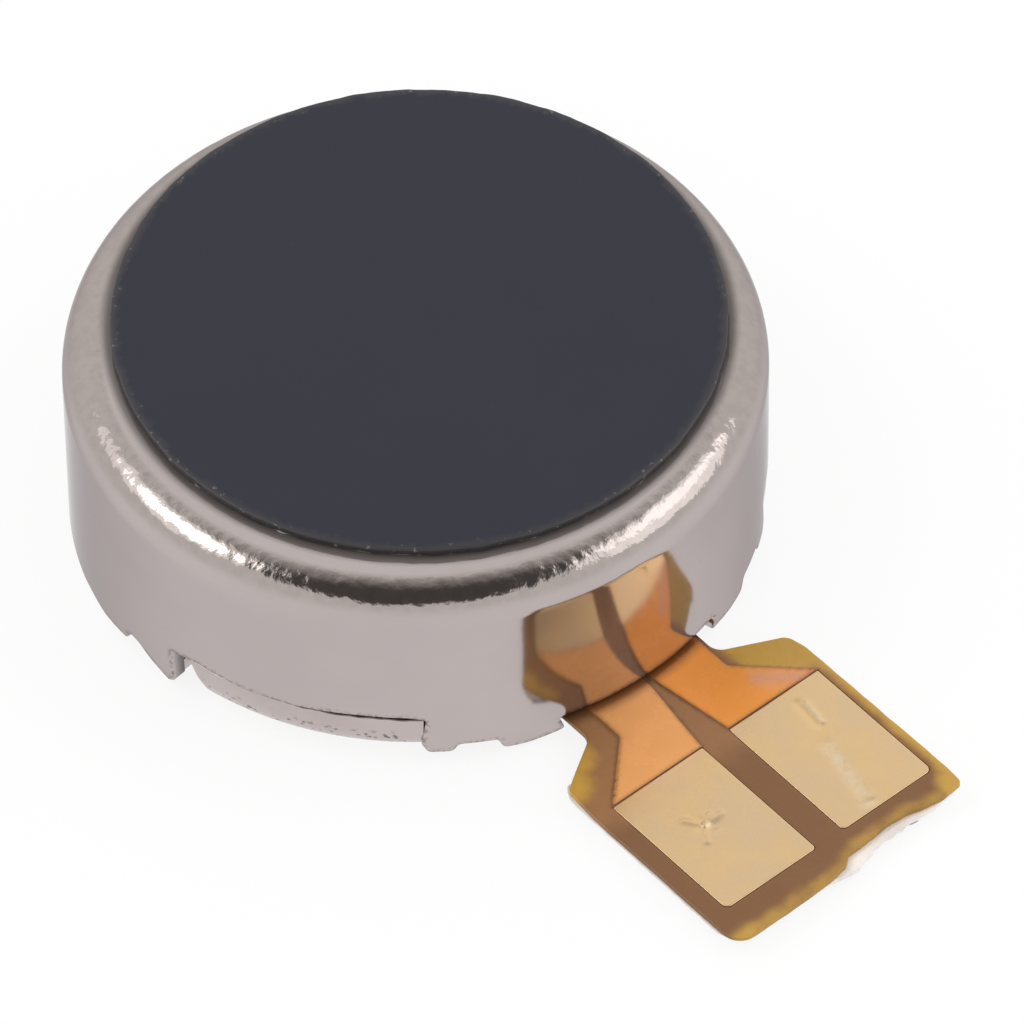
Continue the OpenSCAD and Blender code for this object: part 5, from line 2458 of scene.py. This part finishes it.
@dataclass
class Studio:
    """Floor, lamps, white surroundings and camera.

    Attributes:
        azimuth: Direction that the camera looks from, in degrees from -Y towards +X.
        elevation: Height of the camera above the horizon in degrees.
        roll: Turn of the camera about its own axis.
        distance: Distance of the camera from the point it is measured from.
        centre_z: Height of that point on the axis.
        aim: Shift of the aimed point to the right and up, across the view.
        lens: Focal length on the 36 mm sensor.
        fill: Strength of the white surroundings as light on the object.
        floor_z: Level of the floor.
        floor_r: Radius of the floor.
        floor_fade: Radii between which the floor fades to white.
        floor_glow: Share of the floor that is plain white to the camera.
        floor_mirrored: Share of it that is plain white in reflections.
        card_distance: Distance of the dark card.
        card_middle: Azimuth and elevation of the card's middle.
        card_half: Half of the angles that the card covers: sideways, down to the camera and up beyond it.
        card_soft: Share of those angles over which the lower and the upper edge fade.
        card_glow: Brightness of the card at its lower and its upper edge.
        lamps: Azimuth, elevation, distance, size and power of each softbox.
    """

    azimuth: float = 50.6277
    elevation: float = 48.9636
    roll: float = 1.283
    distance: float = 179.45
    centre_z: float = 0.33
    aim: tuple[float, float] = (1.330, -0.526)
    lens: float = 441.6
    fill: float = 0.8
    floor_z: float = -0.01
    floor_r: float = 90
    floor_fade: tuple[float, float] = (12, 40)
    floor_glow: float = 0.86
    floor_mirrored: float = 0.92
    card_distance: float = 600
    card_middle: tuple[float, float] = (47, 70)
    card_half: tuple[float, float, float] = (30, 30, 48)
    card_soft: tuple[float, float] = (0.12, 0.32)
    card_glow: tuple[float, float] = (0.11, 0.40)
    lamps: tuple[tuple[float, float, float, float, float], ...] = (
        (-42, 52, 240, 120, 0.068), (-46, 50, 260, 210, 0.064), (151, 54, 240, 135, 0.032),
        (139, 43, 260, 210, 0.092))

    def build(self) -> None:
        """Builds everything round the object."""
        self._world()
        self._floor()
        self._card()
        for index, lamp in enumerate(self.lamps):
            self._lamp(index, *lamp)
        self._camera()
        bpy.context.scene.view_settings.view_transform = "Standard"

    @staticmethod
    def _from(azimuth: float, elevation: float) -> Vector:
        """Unit vector towards a direction; azimuth 0 is -Y."""
        a, e = math.radians(azimuth), math.radians(elevation)
        return Vector((math.sin(a) * math.cos(e), -math.cos(a) * math.cos(e), math.sin(e)))

    def _world(self) -> None:
        """White surroundings: full white to the camera and in reflections, softer as light."""
        world = bpy.data.worlds.new("white_room")
        world.use_nodes = True
        tree = NodeTree(world.node_tree)
        path = tree.add("ShaderNodeLightPath").outputs
        seen = tree.maths("MAXIMUM", path["Is Camera Ray"], path["Is Glossy Ray"])
        seen = tree.maths("MAXIMUM", seen, path["Is Transmission Ray"])
        strength = tree.add("ShaderNodeMapRange", {"Value": seen, "To Min": self.fill}).outputs[0]
        back = tree.add("ShaderNodeBackground", {"Color": (1, 1, 1), "Strength": strength})
        tree.add("ShaderNodeOutputWorld", {0: back.outputs[0]})
        bpy.context.scene.world = world

    def _floor(self) -> None:
        """Plain pale floor that keeps the object's shadow and fades to white."""
        reach = np.array([self.floor_r, *self.floor_fade[::-1], 0.0])
        data = Turned(np.column_stack([reach, np.full(4, self.floor_z)]), 96, flip=True).build()
        graph = Graph("pale_floor")
        graph.tree.nodes.remove(graph.shader)
        away = graph.add("ShaderNodeVectorMath", {0: graph.where}, operation="LENGTH").outputs["Value"]
        fade = graph.span(away, *(radius * MM for radius in self.floor_fade))
        path = graph.add("ShaderNodeLightPath").outputs
        camera = path["Is Camera Ray"]
        bright = graph.maths("MAXIMUM", path["Is Glossy Ray"], path["Is Transmission Ray"])
        share = graph.maths("MAXIMUM", graph.times(bright, self.floor_mirrored),
                            graph.times(camera, self.floor_glow))
        faded = graph.times(fade, graph.maths("MAXIMUM", bright, camera))
        share = graph.maths("MAXIMUM", share, faded)
        matt = graph.add("ShaderNodeBsdfDiffuse", {"Color": (0.95, 0.95, 0.95)})
        glow = graph.add("ShaderNodeEmission")
        mixed = graph.add("ShaderNodeMixShader", {0: share, 1: matt.outputs[0], 2: glow.outputs[0]})
        graph.link(mixed.outputs[0], graph.output.inputs[0])
        data.object("floor", [graph.material])

    def _card(self) -> None:
        """Dark soft-edged card overhead, which only reflections see."""
        turns = np.radians(np.linspace(0, 70, 48))
        section = np.column_stack([np.sin(turns), np.cos(turns)])[::-1] * self.card_distance
        data = Turned(section, 144, flip=True).build()
        facing = self._from(*self.card_middle).to_track_quat("Z", "Y").to_matrix()
        ways = data.place() @ np.array(facing).T / self.card_distance
        level, side = (np.array(self._from(self.card_middle[0] + turn, 0)) for turn in (0, 90))
        up = np.degrees(np.arctan2(ways[:, 2], ways @ level)) - self.card_middle[1]
        across = np.degrees(np.arcsin(np.clip(ways @ side, -1, 1)))
        wide, down, beyond = self.card_half
        reach = np.hypot(across / wide, up / np.where(up < 0, down, beyond))
        soft = np.where(up < 0, *self.card_soft)
        fade = np.clip((reach - 1 + soft) / (2 * soft), 0, 1)
        marks = {"fade": fade * fade * (3 - 2 * fade), "rise": smoothstep(8, 42, up)}
        graph = Graph("dark_card")
        graph.set(Base_Color=(0.0, 0.0, 0.0), Roughness=0.9, Specular_IOR_Level=0.0)
        graph.set(Emission_Color=(1.0, 0.96, 0.94))
        graph.set(Emission_Strength=graph.span(graph.mark("rise"), 0, 1, *self.card_glow))
        graph.set(Alpha=graph.maths("SUBTRACT", 1.0, graph.mark("fade")))
        card = data.object("dark_card", [graph.material], marks)
        card.data.transform(facing.to_4x4())
        card.visible_camera = False
        card.visible_diffuse = False
        card.visible_shadow = False

    def _lamp(self, index: int, azimuth: float, elevation: float, distance: float, size: float,
              power: float) -> None:
        """One softbox that faces the object.

        Args:
            index: Number of the softbox.
            azimuth: Direction that it stands in.
            elevation: Its height above the horizon in degrees.
            distance: Its distance from the origin.
            size: Its diameter.
            power: Its power.
        """
        light = bpy.data.lights.new(f"softbox_{index}", "AREA")
        light.shape = "DISK"
        light.size = size * MM
        light.energy = power
        lamp = placed(light.name, light)
        towards = self._from(azimuth, elevation)
        turn = towards.to_track_quat("Z", "Y").to_matrix().to_4x4()
        lamp.matrix_world = Matrix.Translation(towards * distance * MM) @ turn

    def _camera(self) -> None:
        """Camera at the main viewing angle."""
        back = self._from(self.azimuth, self.elevation)
        a = math.radians(self.azimuth)
        right = Vector((math.cos(a), math.sin(a), 0))
        up = back.cross(right)
        centre = Vector((0, 0, self.centre_z))
        place = centre + back * self.distance
        aim = centre + right * self.aim[0] + up * self.aim[1]
        roll = math.radians(self.roll)
        axis = (place - aim).normalized()
        side = (right * math.sin(roll) + up * math.cos(roll)).cross(axis).normalized()
        turn = Matrix((side, axis.cross(side), axis)).transposed().to_4x4()
        data = bpy.data.cameras.new("camera")
        data.lens = self.lens
        data.clip_start = 0.01
        data.clip_end = 10
        camera = placed("camera", data)
        camera.matrix_world = Matrix.Translation(place * MM) @ turn
        bpy.context.scene.camera = camera


def main() -> None:
    """Builds every sub-assembly and the studio, and reports each piece."""
    logging.basicConfig(level=logging.INFO, format="%(name)s: %(message)s")
    for kind in (CaseShell, Bracket, FlexTail, BlackPad, Spindle, MagnetStack, Brushes, Rotor):
        assembly = kind()
        for piece in assembly.build():
            piece.data.calc_loop_triangles()
            LOG.info("%s: %s on %s, %d triangles", kind.__name__, piece.name, assembly.body.value,
                     len(piece.data.loop_triangles))
    Studio().build()


if __name__ == "__main__":
    main()
